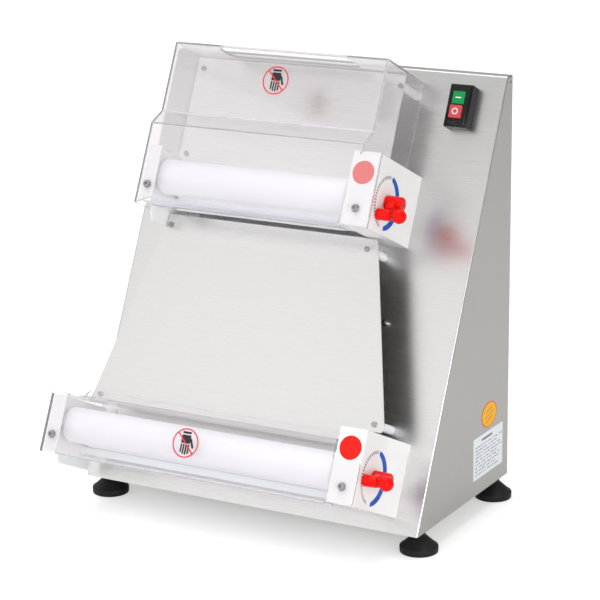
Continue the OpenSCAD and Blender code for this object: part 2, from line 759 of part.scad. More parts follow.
module gear(u, out, bore) {
    color("darkkhaki") on_front() translate([box_x(u) + gear_in, axis_y(u), out]) rotate([90, 0, 90])
        linear_extrude(gear_w) difference() {
            rotate(90) gear_shape();
            circle(d = bore);
        }
}

module rear_shaft(u) {
    at = [axis_y(u), rear_out];
    color("silver") on_front() union() {
        rod(left_x(u), box_x(u) + guide_in + wall_t + 1, at, shaft_d);
        pulley(box_x(u) + pulley_in, at, 0);
    }
}

module front_core(u) {
    at = [axis_y(u), axle_out(u)];
    x0 = roller_x0(u) - 5;
    x1 = box_x(u) + gear_in + gear_w;
    color("silver") on_front() difference() {
        rod(x0, x1, at, core_d);
        rod(x0 - eps, x1 + eps, at, axle_d + 2 * run_gap);
    }
}

// The fixed axle has flats where it slides in the end plate and in the guide plate
module front_axle(u) {
    at = [axis_y(u), axle_out(u)];
    x0 = left_x(u) - 1;
    x1 = box_x(u) + guide_in + wall_t + 0.7;
    flat = axle_d - 2;
    color("gray") on_front() union() {
        difference() {
            rod(x0, x1, at, axle_d);
            for (end = [[x0 - eps, left_x(u) + wall_t + 2], [box_x(u) + guide_in - 1.2, x1 + eps]],
                s = [-1, 1]) translate([end[0], at[0] + s * (flat / 2 + axle_d / 2) - axle_d / 2,
                at[1] - axle_d]) cube([end[1] - end[0], axle_d, 2 * axle_d]);
        }
        rod(x1 - 1, box_x(u) + cam_in + groove_d - 0.5, at, cam_pin_d);
    }
}

// A disc on the lever's shaft whose spiral groove slides the axle by the same amount per degree
module cam(u) {
    at = [axis_y(u), dial_out];
    x0 = box_x(u) + cam_in;
    set = set_of(u);
    low = dial_low - set;
    high = dial_high - set;
    half = cam_pin_d / 2 + 0.3;
    steps = 40;
    function groove_r(a) = axle_out(u) - dial_out - gap_per_deg * a;
    function spot(a, side) = (groove_r(a) + side * half) * [cos(90 + a), sin(90 + a)];
    color("tan") on_front() difference() {
        union() {
            rod(x0, x0 + cam_w, at, 2 * cam_r);
            rod(x0 + cam_w - eps, face_x(u) + shaft_out, at, lever_shaft_d);
        }
        translate([x0 - eps, at[0], at[1]]) rotate([90, 0, 90]) linear_extrude(groove_d + eps) {
            polygon(concat([for (i = [0:steps]) spot(low + (high - low) * i / steps, 1)],
                [for (i = [steps:-1:0]) spot(low + (high - low) * i / steps, -1)]));
            for (a = [low, high]) translate(groove_r(a) * [cos(90 + a), sin(90 + a)]) circle(half + 0.05);
        }
    }
}

// Hub on the lever's shaft, web, and barrel for the plunger
module lever(u) {
    x0 = face_x(u) + lever_gap;
    at = [axis_y(u), dial_out];
    tip = at + index_r * [sin(set_of(u)), cos(set_of(u))];
    color("red") on_front() difference() {
        union() {
            rod(x0, x0 + hub_l, at, hub_d);
            rod(x0, x0 + barrel_l, tip, barrel_d);
            across(x0 + arm_in, barrel_l - arm_in) round_slot(at, tip, barrel_d / 2 - 0.5);
        }
        rod(x0 - eps, face_x(u) + shaft_out, at, lever_shaft_d);
        rod(x0 - eps, x0 + barrel_l + eps, tip, pin_d + 2 * run_gap);
    }
}

module plunger(u) {
    x0 = face_x(u) + 0.4;
    at = [axis_y(u) + index_r * sin(set_of(u)), dial_out + index_r * cos(set_of(u))];
    ball_x = face_x(u) + lever_gap + barrel_l + 2 + ball_d / 2;
    color("crimson") on_front() union() {
        rod(x0, ball_x, at, pin_d);
        translate([ball_x, at[0], at[1]]) sphere(d = ball_d);
    }
}

// ---- Covers ----

// Front sheet of a cover, whose bottom edge is rolled back to a lip
module rolled_front(x0, x1, y0, y1, bend, lip) {
    out = cover_out + cover_t;
    across(x0, x1 - x0) union() {
        translate([y0 + bend, cover_out]) square([y1 - y0 - bend, cover_t]);
        translate([y0, out - lip]) square([cover_t, lip - bend]);
        intersection() {
            translate([y0 + bend, out - bend]) difference() {
                circle(bend);
                circle(bend - cover_t);
            }
            translate([y0, out - bend]) square([bend, bend]);
        }
    }
}

// Holes for the two screws that hold a cover to the end plate and the gear box
module cover_holes(u) {
    for (x = cover_screws_x(u)) translate([x, unit_y(u) + cover_screw_up, cover_out - eps])
        cylinder(d = cover_hole_d, h = cover_t + 2 * eps);
}

// The screws' places across the front; the right nut stops at the guide plate
function cover_screws_x(u) = [left_x(u) + strip_w / 2, box_x(u) + guide_in - cover_nut_d / 2];

// The hood is deep in front of the rollers and shallower above, with a slanted band between
module upper_hood() {
    u = UPPER;
    y0 = hood_top_y - hood_h;
    y_low = y0 + hood_low_h;
    y_step = y_low + band_h;
    y_box = unit_y(u) + box_h;
    y_flap = y0 + 2;
    out = cover_out + cover_t;
    flap_x = box_x(u) - 2;
    roll_x = left_x(u) + strip_w + seat;
    back = seat;
    upper_line = [[y_low, out], [y_step, hood_top_out], [hood_top_y, hood_top_out], [hood_top_y, back]];
    color("lavender", 0.4) on_front() difference() {
        union() {
            across(hood_x0, cover_t) polygon(concat([[y0, back], [y0, out]], upper_line));
            across(hood_x1 - cover_t, cover_t)
                polygon(concat([[y_box + seat, back], [y_box + seat, out]], upper_line));
            // flat over the end plate, rolled back beside it
            sheet_box(hood_x0, roll_x + eps, y0, y_low, cover_out, out);
            rolled_front(roll_x, flap_x, y0, y_low, hood_bend, hood_lip);
            across(hood_x0, hood_x1 - hood_x0) polygon(concat([[y_low, cover_out]], upper_line,
                [[hood_top_y - cover_t, back], [hood_top_y - cover_t, hood_top_out - cover_t],
                [y_step, hood_top_out - cover_t]]));
            // flap in front of the gear box
            sheet_box(flap_x - eps, hood_x1, y_flap, y_low, cover_out, out);
            sheet_box(hood_x1 - eps, face_x(u) + 3, y_flap, y_box, cover_out, out);
        }
        feed_hole();
        cover_holes(u);
    }
}

// Long rounded opening in the hood's top, where dough goes in
module feed_hole() {
    x_mid = (hood_x0 + hood_x1) / 2;
    z_mid = hood_top_out - cover_t - 3 - feed_d / 2;
    translate([x_mid, hood_top_y + eps, z_mid]) rotate([90, 0, 0]) linear_extrude(cover_t + 2 * eps)
        rounded_rect(feed_w, feed_d, 15);
}

// A shallow tray in front of the lower rollers, with a rolled nose and an upstand behind
module lower_cover() {
    u = LOWER;
    y0 = nose_y;
    y1 = unit_y(u) + end_h + seat + cover_t;
    out = cover_out + cover_t;
    x0 = left_x(u) - 1.6 - cover_t;
    x1 = box_x(u) - 1.5;
    back = chute_out + 8;
    side_in = 60;
    roll_x = left_x(u) + strip_w + seat;
    top_wall = 10;
    tab_drop = 26;
    color("lavender", 0.4) on_front() difference() {
        union() {
            // left wall, and the right wall cut away for the roller ends
            across(x0, cover_t)
                polygon([[y0, side_in], [y0, out], [y1, out], [y1, back], [y1 - 2 * top_wall, side_in]]);
            across(x1 - cover_t, cover_t) polygon([[y0 + tray_bend, out - tray_wall],
                [y0 + tray_bend, out], [y1, out], [y1, back], [y1 - top_wall, back],
                [y1 - top_wall, out - tray_wall]]);
            // flat over the end plate, rolled back beside it
            sheet_box(x0, roll_x + eps, y0, y1, cover_out, out);
            rolled_front(roll_x, x1, y0, y1, tray_bend, tray_lip);
            // top and its upstand
            sheet_box(x0, x1, y1 - cover_t, y1, back, out);
            sheet_box(x0, x1, y1 - cover_t, y1 + tray_rise, back, back + cover_t);
            // tab in front of the gear box
            sheet_box(x1 - eps, face_x(u), unit_y(u) - 0.5, y1 - tab_drop, cover_out, out);
        }
        cover_holes(u);
    }
}

// Button screws with a hexagon socket, each in a nut behind the painted flange
module cover_screws() {
    tail = 12;
    head_h = 3.5;
    socket = 4.6;
    nut_h = 5;
    color("silver") on_front() for (u = [LOWER, UPPER], x = cover_screws_x(u))
        translate([x, unit_y(u) + cover_screw_up, cover_out + cover_t]) union() {
            difference() {
                cylinder(d1 = 2 * cover_screw_d - 0.5, d2 = 1.5 * cover_screw_d, h = head_h);
                translate([0, 0, head_h / 3]) cylinder(d = socket, h = head_h, $fn = 6);
            }
            translate([0, 0, -tail]) cylinder(d = cover_screw_d, h = tail + eps);
            translate([0, 0, -cover_t - cover_gap - wall_t - nut_h])
                cylinder(d = cover_nut_d, h = nut_h, $fn = 6);
        }
}

// White label on the lower box's front, above the cover's tab
module lower_badge() {
    u = LOWER;
    color("white") on_front() sheet_box(box_x(u), face_x(u), unit_y(u) + box_h - badge_drop,
        unit_y(u) + box_h, box_out, box_out + film_t);
}

module red_discs() {
    color("red") on_front() for (spot = [[LOWER, disc_drop[0], film_t], [UPPER, disc_drop[1], 0]])
        translate([box_x(spot[0]) + box_w / 2, unit_y(spot[0]) + box_h - spot[1], box_out + spot[2]])
        cylinder(d = disc_d, h = film_t);
}

module lower_gear_box() { gear_box(LOWER); }
module lower_end_plate() { end_plate(LOWER); }
module lower_guide_plate() { guide_plate(LOWER); }
module lower_bushes() { bushes(LOWER); }
module lower_scraper() { scraper(LOWER); }
module lower_rear_roller() { roller(LOWER, rear_out, shaft_d); }
module lower_rear_shaft() { rear_shaft(LOWER); }
module lower_rear_gear() { gear(LOWER, rear_out, shaft_d); }
module lower_front_roller() { roller(LOWER, axle_out(LOWER), core_d); }
module lower_front_core() { front_core(LOWER); }
module lower_front_gear() { gear(LOWER, axle_out(LOWER), core_d); }
module lower_front_axle() { front_axle(LOWER); }
module lower_cam() { cam(LOWER); }
module lower_lever() { lever(LOWER); }
module lower_plunger() { plunger(LOWER); }

module upper_gear_box() { gear_box(UPPER); }
module upper_end_plate() { end_plate(UPPER); }
module upper_guide_plate() { guide_plate(UPPER); }
module upper_bushes() { bushes(UPPER); }
module upper_scraper() { scraper(UPPER); }
module upper_rear_roller() { roller(UPPER, rear_out, shaft_d); }
module upper_rear_shaft() { rear_shaft(UPPER); }
module upper_rear_gear() { gear(UPPER, rear_out, shaft_d); }
module upper_front_roller() { roller(UPPER, axle_out(UPPER), core_d); }
module upper_front_core() { front_core(UPPER); }
module upper_front_gear() { gear(UPPER, axle_out(UPPER), core_d); }
module upper_front_axle() { front_axle(UPPER); }
module upper_cam() { cam(UPPER); }
module upper_lever() { lever(UPPER); }
module upper_plunger() { plunger(UPPER); }

cabinet_shell();
back_panel();
back_screws();
base_plate();
rubber_feet();
foot_studs();
cable_gland();
chute_plate();
feed_plate();
standoffs();
plate_screws();
data_label();
rating_sticker();
switch_housing();
start_button();
stop_button();
motor();
motor_cradle();
motor_shaft();
countershaft();
counter_bracket();
capacitor();
motor_belt();
lower_belt();
upper_belt();
upper_hood();
lower_cover();
cover_screws();
lower_gear_box();
lower_end_plate();
lower_guide_plate();
lower_bushes();
lower_scraper();
lower_rear_roller();
lower_rear_shaft();
lower_rear_gear();
lower_front_roller();
lower_front_core();
lower_front_gear();
lower_front_axle();
lower_cam();
lower_lever();
lower_plunger();
lower_badge();
red_discs();
upper_gear_box();
upper_end_plate();
upper_guide_plate();
upper_bushes();
upper_scraper();
upper_rear_roller();
upper_rear_shaft();
upper_rear_gear();
upper_front_roller();
upper_front_core();
upper_front_gear();
upper_front_axle();
upper_cam();
upper_lever();
upper_plunger();
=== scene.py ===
# %% [markdown]
# # A two-stage dough sheeter
#
# The machine is a wedge of brushed steel sheet. Its leaning front carries two pairs of white
# rollers, each between a painted gear box and an end plate, behind clear covers. The CAD model
# already holds every piece at its size and place. These cells give the pieces their rounded
# folds, bent clear sheets, printed marks and finishes.

import json
import math
import random

import bmesh
import bpy
from mathutils import Matrix, Vector


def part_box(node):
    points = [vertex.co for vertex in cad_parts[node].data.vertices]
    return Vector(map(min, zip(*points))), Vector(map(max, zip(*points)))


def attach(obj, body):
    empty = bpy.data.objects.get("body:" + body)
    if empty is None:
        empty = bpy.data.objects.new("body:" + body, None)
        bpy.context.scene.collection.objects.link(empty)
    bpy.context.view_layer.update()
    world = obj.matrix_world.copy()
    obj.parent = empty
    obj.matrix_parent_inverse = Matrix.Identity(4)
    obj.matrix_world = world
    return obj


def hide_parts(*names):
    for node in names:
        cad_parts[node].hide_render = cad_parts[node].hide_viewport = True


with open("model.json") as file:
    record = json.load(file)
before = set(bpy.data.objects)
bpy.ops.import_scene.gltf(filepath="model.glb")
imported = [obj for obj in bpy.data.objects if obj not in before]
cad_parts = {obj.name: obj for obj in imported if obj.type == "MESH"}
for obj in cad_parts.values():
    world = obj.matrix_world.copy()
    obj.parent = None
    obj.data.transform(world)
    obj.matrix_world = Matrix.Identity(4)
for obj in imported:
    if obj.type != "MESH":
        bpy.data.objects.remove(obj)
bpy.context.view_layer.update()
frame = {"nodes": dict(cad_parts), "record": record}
MM = 0.001

# %% [markdown]
# Nearly everything on this machine is square to its leaning front, so the pieces are easiest to
# draw there. A matrix turns drawing places (x across, y up the slope, z straight out of it) into
# places in the room. The lean comes from the cabinet's own box and the depth of its flat top.

# %% The leaning front's own frame
TOP_DEPTH = 16 * MM
shell_low, shell_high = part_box("cabinet_shell")
shell_size = shell_high - shell_low
LEAN = math.atan((shell_size.y - TOP_DEPTH) / shell_size.z)
SLOPE = Matrix.Translation((0, shell_low.y, shell_low.z)) @ Matrix.Rotation(math.pi / 2 - LEAN, 4, "X")
TO_SLOPE = SLOPE.inverted()


def slope_box(node):
    """Lowest and highest corner of a CAD node, measured square to the leaning front."""
    places = [TO_SLOPE @ v.co for v in frame["nodes"][node].data.vertices]
    low = Vector([min(p[i] for p in places) for i in range(3)])
    high = Vector([max(p[i] for p in places) for i in range(3)])
    return low, high


print("The front leans back by", round(math.degrees(LEAN), 2), "degrees")

# %% [markdown]
# A long lens from a little above and to the right keeps the machine's lines nearly parallel. The
# camera is turned by its own three directions, so that a slight roll can be given as an angle.

# %% Camera
AIM = Vector((0.0165, 0.0381, 0.2983))
CAMERA_DISTANCE = 3.2036
CAMERA_AZIMUTH = math.radians(29.489)
CAMERA_ELEVATION = math.radians(15.471)
CAMERA_ROLL = math.radians(-0.609)
LENS_MM = 137.84

back = Vector((
    math.sin(CAMERA_AZIMUTH) * math.cos(CAMERA_ELEVATION),
    -math.cos(CAMERA_AZIMUTH) * math.cos(CAMERA_ELEVATION),
    math.sin(CAMERA_ELEVATION),
))
level = Vector((math.cos(CAMERA_AZIMUTH), math.sin(CAMERA_AZIMUTH), 0))
above = back.cross(level)
to_right = math.cos(CAMERA_ROLL) * level + math.sin(CAMERA_ROLL) * above
to_top = math.cos(CAMERA_ROLL) * above - math.sin(CAMERA_ROLL) * level
camera_data = bpy.data.cameras.new("camera")
camera_data.lens = LENS_MM
camera_data.clip_start = 0.05
camera = bpy.data.objects.new("camera", camera_data)
turn = Matrix((to_right, to_top, back)).transposed()
camera.matrix_world = Matrix.Translation(AIM + CAMERA_DISTANCE * back) @ turn.to_4x4()
bpy.context.collection.objects.link(camera)
bpy.context.scene.camera = camera

# %% [markdown]
# Brushed steel shows what stands round it, so the light matters as much as the finish. A large
# card stands in front to the left, a fill stands to the right, and a soft sun lights from above.
# Two small lamps near the camera are there for glints on the small parts. The world is a pale grey
# that darkens towards the right. That, together with painted shade in the side steel's darker colour,
# gives the side panel its deeper tone. The camera, straight or through a clear sheet, sees it as plain
# white.

# %% Lamps, world and floor
def soft_lamp(name, place, size, watts, look_at=AIM, shade=(1, 1, 1)):
    """A square area lamp that faces a point."""
    data = bpy.data.lights.new(name, "AREA")
    data.shape = "SQUARE"
    data.size = size
    data.energy = watts
    data.color = shade
    lamp = bpy.data.objects.new(name, data)
    lamp.location = place
    lamp.rotation_euler = (Vector(look_at) - Vector(place)).to_track_quat("-Z", "Y").to_euler()
    bpy.context.collection.objects.link(lamp)
    return lamp


soft_lamp("front_card", (-0.95, -1.75, 1.0), 1.5, 4.6)
soft_lamp("fill", (2.2, -1.5, 0.8), 1.2, 18)
soft_lamp("glint_left", (1.25, -2.6, 1.35), 0.3, 7)
soft_lamp("glint_right", (1.75, -2.45, 1.3), 0.3, 7)
sun_data = bpy.data.lights.new("ceiling", "SUN")
sun_data.energy = 1.25
sun_data.angle = math.radians(50)
sun = bpy.data.objects.new("ceiling", sun_data)
sun.rotation_euler = Vector((-0.1, -0.12, 1)).to_track_quat("Z", "Y").to_euler()
bpy.context.collection.objects.link(sun)

world = bpy.data.worlds.new("studio")
bpy.context.scene.world = world
world.use_nodes = True
wn, wl = world.node_tree.nodes, world.node_tree.links
wn.clear()
w_out = wn.new("ShaderNodeOutputWorld")
w_mix = wn.new("ShaderNodeMixShader")
w_seen = wn.new("ShaderNodeBackground")
w_light = wn.new("ShaderNodeBackground")
w_path = wn.new("ShaderNodeLightPath")
w_seen.inputs["Color"].default_value = (1, 1, 1, 1)
w_seen.inputs["Strength"].default_value = 1.0
w_plain = wn.new("ShaderNodeMath")
w_plain.operation = "ADD"
w_coord = wn.new("ShaderNodeTexCoord")
w_dot = wn.new("ShaderNodeVectorMath")
w_dot.operation = "DOT_PRODUCT"
w_dot.inputs[1].default_value = (0.75, 0.45, -0.3)
w_ramp = wn.new("ShaderNodeValToRGB")
w_ramp.color_ramp.elements[0].position = 0.1
w_ramp.color_ramp.elements[0].color = (0.95, 0.95, 0.95, 1)
w_ramp.color_ramp.elements[1].position = 0.95
w_ramp.color_ramp.elements[1].color = (0.45, 0.44, 0.435, 1)
w_range = wn.new("ShaderNodeMapRange")
w_range.inputs["From Min"].default_value = -1
w_range.inputs["From Max"].default_value = 1
wl.new(w_coord.outputs["Generated"], w_dot.inputs[0])
wl.new(w_dot.outputs["Value"], w_range.inputs["Value"])
wl.new(w_range.outputs["Result"], w_ramp.inputs["Fac"])
wl.new(w_ramp.outputs["Color"], w_light.inputs["Color"])
w_light.inputs["Strength"].default_value = 0.66
wl.new(w_path.outputs["Is Camera Ray"], w_plain.inputs[0])
wl.new(w_path.outputs["Is Transmission Ray"], w_plain.inputs[1])
wl.new(w_plain.outputs[0], w_mix.inputs["Fac"])
wl.new(w_light.outputs[0], w_mix.inputs[1])
wl.new(w_seen.outputs[0], w_mix.inputs[2])
wl.new(w_mix.outputs[0], w_out.inputs["Surface"])

floor_bm = bmesh.new()
bmesh.ops.create_grid(floor_bm, x_segments=1, y_segments=1, size=6)
floor_mesh = bpy.data.meshes.new("floor")
floor_bm.to_mesh(floor_mesh)
floor_bm.free()
floor = bpy.data.objects.new("floor", floor_mesh)
bpy.context.collection.objects.link(floor)

floor_paper = bpy.data.materials.new("floor_paper")
floor_paper.use_nodes = True
fn, fl = floor_paper.node_tree.nodes, floor_paper.node_tree.links
fn.clear()
f_out = fn.new("ShaderNodeOutputMaterial")
f_add = fn.new("ShaderNodeAddShader")
f_paper = fn.new("ShaderNodeBsdfDiffuse")
f_paper.inputs["Color"].default_value = (0.88, 0.88, 0.88, 1)
f_glow = fn.new("ShaderNodeEmission")
f_path = fn.new("ShaderNodeLightPath")
f_seen = fn.new("ShaderNodeMath")
f_seen.operation = "ADD"
f_lift = fn.new("ShaderNodeMath")
f_lift.operation = "MULTIPLY"
f_lift.inputs[1].default_value = 0.4
fl.new(f_path.outputs["Is Camera Ray"], f_seen.inputs[0])
fl.new(f_path.outputs["Is Transmission Ray"], f_seen.inputs[1])
fl.new(f_seen.outputs[0], f_lift.inputs[0])
fl.new(f_lift.outputs[0], f_glow.inputs["Strength"])
fl.new(f_paper.outputs[0], f_add.inputs[0])
fl.new(f_glow.outputs[0], f_add.inputs[1])
fl.new(f_add.outputs[0], f_out.inputs["Surface"])
floor.data.materials.append(floor_paper)
bpy.context.scene.view_settings.view_transform = "Standard"

# %% [markdown]
# Every finish starts from one helper that makes a Principled material, and another that drives its
# roughness and a fine bump from noise. Stretching the noise along one axis turns it into the grain
# of brushed metal, and leaving it even gives the faint unevenness of paint or moulded plastic.

# %% Finish helpers
def finish(name, color, roughness, metallic=0.0, **sockets):
    """A Principled material. Even values are set on the shader's own sockets."""
    made = bpy.data.materials.new(name)
    made.use_nodes = True
    shader = made.node_tree.nodes["Principled BSDF"]
    shader.inputs["Base Color"].default_value = (*color, 1)
    shader.inputs["Roughness"].default_value = roughness
    shader.inputs["Metallic"].default_value = metallic
    for socket, value in sockets.items():
        shader.inputs[socket.replace("_", " ")].default_value = value
    return made


def grain(made, stretch, rough=(0.2, 0.4), bump=0.1, depth=0.0002, tones=None, detail=4.0):
    """Noise on the piece's own coordinates, stretched by a scale on each axis."""
    nodes, links = made.node_tree.nodes, made.node_tree.links
    shader = nodes["Principled BSDF"]
    coord = nodes.new("ShaderNodeTexCoord")
    place = nodes.new("ShaderNodeMapping")
    place.inputs["Scale"].default_value = stretch
    noise = nodes.new("ShaderNodeTexNoise")
    noise.inputs["Scale"].default_value = 1.0
    noise.inputs["Detail"].default_value = detail
    spread = nodes.new("ShaderNodeMapRange")
    spread.inputs["From Min"].default_value = 0.3
    spread.inputs["From Max"].default_value = 0.7
    spread.inputs["To Min"].default_value = rough[0]
    spread.inputs["To Max"].default_value = rough[1]
    relief = nodes.new("ShaderNodeBump")
    relief.inputs["Strength"].default_value = bump
    relief.inputs["Distance"].default_value = depth
    links.new(coord.outputs["Object"], place.inputs["Vector"])
    links.new(place.outputs["Vector"], noise.inputs["Vector"])
    links.new(noise.outputs["Fac"], spread.inputs["Value"])
    links.new(spread.outputs["Result"], shader.inputs["Roughness"])
    links.new(noise.outputs["Fac"], relief.inputs["Height"])
    links.new(relief.outputs["Normal"], shader.inputs["Normal"])
    if tones:
        shades = nodes.new("ShaderNodeValToRGB")
        shades.color_ramp.elements[0].position = 0.3
        shades.color_ramp.elements[0].color = (*tones[0], 1)
        shades.color_ramp.elements[1].position = 0.7
        shades.color_ramp.elements[1].color = (*tones[1], 1)
        links.new(noise.outputs["Fac"], shades.inputs["Fac"])
        links.new(shades.outputs["Color"], shader.inputs["Base Color"])
    return made


def lamps_through(made):
    """Lets lamps and bounced light reach what stands behind a clear sheet."""
    nodes, links = made.node_tree.nodes, made.node_tree.links
    path = nodes.new("ShaderNodeLightPath")
    either = nodes.new("ShaderNodeMath")
    either.operation = "MAXIMUM"
    clear = nodes.new("ShaderNodeBsdfTransparent")
    clear.inputs["Color"].default_value = (0.93, 0.93, 0.94, 1)
    mixed = nodes.new("ShaderNodeMixShader")
    links.new(path.outputs["Is Shadow Ray"], either.inputs[0])
    links.new(path.outputs["Is Diffuse Ray"], either.inputs[1])
    links.new(either.outputs[0], mixed.inputs[0])
    links.new(nodes["Principled BSDF"].outputs[0], mixed.inputs[1])
    links.new(clear.outputs[0], mixed.inputs[2])
    links.new(mixed.outputs[0], nodes["Material Output"].inputs["Surface"])
    return made


# %% Finishes
FINE = 2600
ALONG = 14
steel_front = grain(finish("brushed_steel_front", (0.68, 0.675, 0.67), 0.3, 1.0),
                    (ALONG, FINE, FINE), rough=(0.26, 0.34), bump=0.09, depth=0.00006,
                    tones=((0.65, 0.645, 0.635), (0.715, 0.71, 0.705)))
# Painted shade: the same brushed steel as the front, grained the other way, with a darker colour that stands
# in for the sides' deeper tone under the lights.
steel_painted_shade = grain(finish("brushed_steel_painted_shade", (0.48, 0.47, 0.45), 0.34, 1.0),
                   (FINE, FINE, ALONG), rough=(0.28, 0.4), bump=0.12, depth=0.00006,
                   tones=((0.48, 0.47, 0.45), (0.55, 0.535, 0.515)))
polished = grain(finish("polished_screws", (0.34, 0.34, 0.35), 0.18, 1.0),
                 (900, 900, 900), rough=(0.12, 0.22), bump=0.05,
                 tones=((0.3, 0.3, 0.31), (0.38, 0.38, 0.39)))
paint = grain(finish("pale_paint", (0.83, 0.83, 0.81), 0.35, Coat_Weight=0.2),
              (420, 420, 420), rough=(0.3, 0.42), bump=0.06, depth=0.0002,
              tones=((0.86, 0.86, 0.86), (0.9, 0.9, 0.9)))
roller_plastic = grain(finish("roller_plastic", (0.9, 0.9, 0.92), 0.4, Subsurface_Weight=0.05,
                              Subsurface_Scale=0.01),
                       (60, 900, 900), rough=(0.36, 0.46), bump=0.03,
                       tones=((0.92, 0.918, 0.965), (0.95, 0.948, 0.99)))
clear_sheet = lamps_through(finish("clear_sheet", (0.92, 0.9, 0.91), 0.05,
                                  Transmission_Weight=0.92, IOR=1.49))
clear_bend = lamps_through(finish("clear_bend", (0.82, 0.805, 0.86), 0.08,
                                 Transmission_Weight=0.7, IOR=1.49))
red_moulding = grain(finish("red_moulding", (0.84, 0.004, 0.002), 0.1, Specular_IOR_Level=0.14),
                     (300, 300, 300), rough=(0.08, 0.14), bump=0.02,
                     tones=((0.8, 0.003, 0.0015), (0.88, 0.006, 0.003)))
green_moulding = grain(finish("green_moulding", (0.008, 0.29, 0.07), 0.25, Specular_IOR_Level=0.2),
                       (300, 300, 300), rough=(0.2, 0.3), bump=0.04,
                       tones=((0.006, 0.26, 0.06), (0.012, 0.32, 0.085)))
stop_moulding = grain(finish("stop_moulding", (0.58, 0.07, 0.08), 0.35, Specular_IOR_Level=0.3),
                      (300, 300, 300), rough=(0.3, 0.42), bump=0.05,
                      tones=((0.52, 0.055, 0.065), (0.62, 0.085, 0.095)))
black_moulding = grain(finish("black_moulding", (0.009, 0.009, 0.01), 0.3, Specular_IOR_Level=0.3),
                       (700, 700, 700), rough=(0.22, 0.34), bump=0.08,
                       tones=((0.006, 0.006, 0.007), (0.012, 0.012, 0.013)))
foot_rubber = grain(finish("foot_rubber", (0.009, 0.009, 0.009), 0.5, Specular_IOR_Level=0.35),
                    (500, 500, 500), rough=(0.45, 0.65), bump=0.12,
                    tones=((0.006, 0.006, 0.006), (0.013, 0.013, 0.013)))
bronze = grain(finish("bronze_bush", (0.62, 0.42, 0.2), 0.35, 1.0),
               (500, 500, 500), rough=(0.3, 0.45), bump=0.06,
               tones=((0.55, 0.36, 0.17), (0.68, 0.47, 0.24)))
machined = grain(finish("machined_steel", (0.5, 0.5, 0.51), 0.32, 1.0),
                 (30, 1500, 1500), rough=(0.25, 0.4), bump=0.08,
                 tones=((0.44, 0.44, 0.45), (0.55, 0.55, 0.56)))
cast_paint = grain(finish("dark_paint", (0.16, 0.17, 0.18), 0.45),
                   (260, 260, 260), rough=(0.4, 0.55), bump=0.2,
                   tones=((0.13, 0.14, 0.15), (0.2, 0.21, 0.22)))
belt_rubber = grain(finish("belt_rubber", (0.03, 0.03, 0.03), 0.6),
                    (400, 1200, 1200), rough=(0.5, 0.7), bump=0.1,
                    tones=((0.022, 0.022, 0.022), (0.04, 0.04, 0.04)))
white_film = grain(finish("white_film", (0.88, 0.88, 0.88), 0.35),
                   (200, 200, 200), rough=(0.3, 0.42), bump=0.02,
                   tones=((0.83, 0.87, 0.9), (0.87, 0.91, 0.94)))
red_film = grain(finish("red_film", (0.8, 0.012, 0.006), 0.4, Specular_IOR_Level=0.15),
                 (200, 200, 200), rough=(0.36, 0.46), bump=0.02,
                 tones=((0.76, 0.01, 0.005), (0.84, 0.018, 0.01)))
yellow_film = grain(finish("yellow_film", (0.96, 0.51, 0.01), 0.35, Specular_IOR_Level=0.15),
                    (160, 160, 160), rough=(0.3, 0.42), bump=0.02,
                    tones=((0.95, 0.47, 0.008), (0.98, 0.56, 0.02)))
orange_ink = finish("orange_ink", (0.8, 0.17, 0.01), 0.4)
blue_ink = grain(finish("blue_ink", (0.004, 0.08, 0.45), 0.4, Specular_IOR_Level=0.1),
                 (300, 300, 300), rough=(0.35, 0.45), bump=0.02,
                 tones=((0.002, 0.045, 0.36), (0.012, 0.13, 0.6)))
dark_ink = finish("dark_ink", (0.012, 0.012, 0.014), 0.5)
grey_ink = finish("grey_ink", (0.16, 0.18, 0.22), 0.5)
red_ink = finish("red_ink", (0.72, 0.02, 0.03), 0.4)
white_ink = finish("white_ink", (0.9, 0.9, 0.9), 0.4)

# %% [markdown]
# Two ways of making a piece cover most of the machine. A turned piece is a half outline spun round
# its axis. A worked copy takes a CAD piece, merges its loose triangles, joins the flat ones back
# into whole faces and gives its corners a small bevel, because no real edge is perfectly sharp.

# %% Piece helpers
def settle(name, bm, material, body, replaced=(), smooth=32, place=None):
    """Turns a bmesh into a piece that rides on a body."""
    if place is not None:
        bm.transform(place)
    mesh = bpy.data.meshes.new(name)
    bm.to_mesh(mesh)
    bm.free()
    mesh.materials.append(material)
    mesh.shade_smooth()
    mesh.set_sharp_from_angle(angle=math.radians(smooth))
    piece = bpy.data.objects.new(name, mesh)
    bpy.context.collection.objects.link(piece)
    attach(piece, body)
    if replaced:
        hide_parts(*replaced)
    return piece


def cad_copy(node):
    """A bmesh of a CAD node with its triangles merged into whole faces."""
    bm = bmesh.new()
    bm.from_mesh(frame["nodes"][node].data)
    bmesh.ops.remove_doubles(bm, verts=bm.verts, dist=2e-6)
    bmesh.ops.dissolve_limit(bm, angle_limit=math.radians(0.6), verts=bm.verts, edges=bm.edges)
    return bm


def edge_bevel(piece, width, segments=2, angle=40):
    """A live bevel on the piece's sharp corners."""
    bevel = piece.modifiers.new("edges", "BEVEL")
    bevel.width = width
    bevel.segments = segments
    bevel.limit_method = "ANGLE"
    bevel.angle_limit = math.radians(angle)
    bevel.harden_normals = False
    return piece


def body_of_node(node):
    """The body that a CAD node rides on."""
    for body, members in frame["record"]["behaviour"]["bodies"].items():
        if node in members:
            return body


def worked_copy(node, material, width=0.4 * MM, segments=2):
    """A CAD node with softened corners and a finish."""
    piece = settle(node + "_made", cad_copy(node), material, body_of_node(node), (node,))
    return edge_bevel(piece, width, segments)


def plain_copies(names, material, width=0.4 * MM):
    """The same treatment for several nodes."""
    for node in names:
        worked_copy(node, material, width)


# %% [markdown]
# The cabinet is one sheet of steel folded into a wedge, with the front, the flat top and both
# sides in one piece. On the real machine a press brake makes those folds, which leaves a smooth
# radius of a few millimetres that catches a bright line of light all the way down each side.

# %% Folded cabinet
FOLD_R = 2.4 * MM


def on_plane(place, normal, point, slack=0.05 * MM):
    return abs((place - point).dot(normal)) < slack


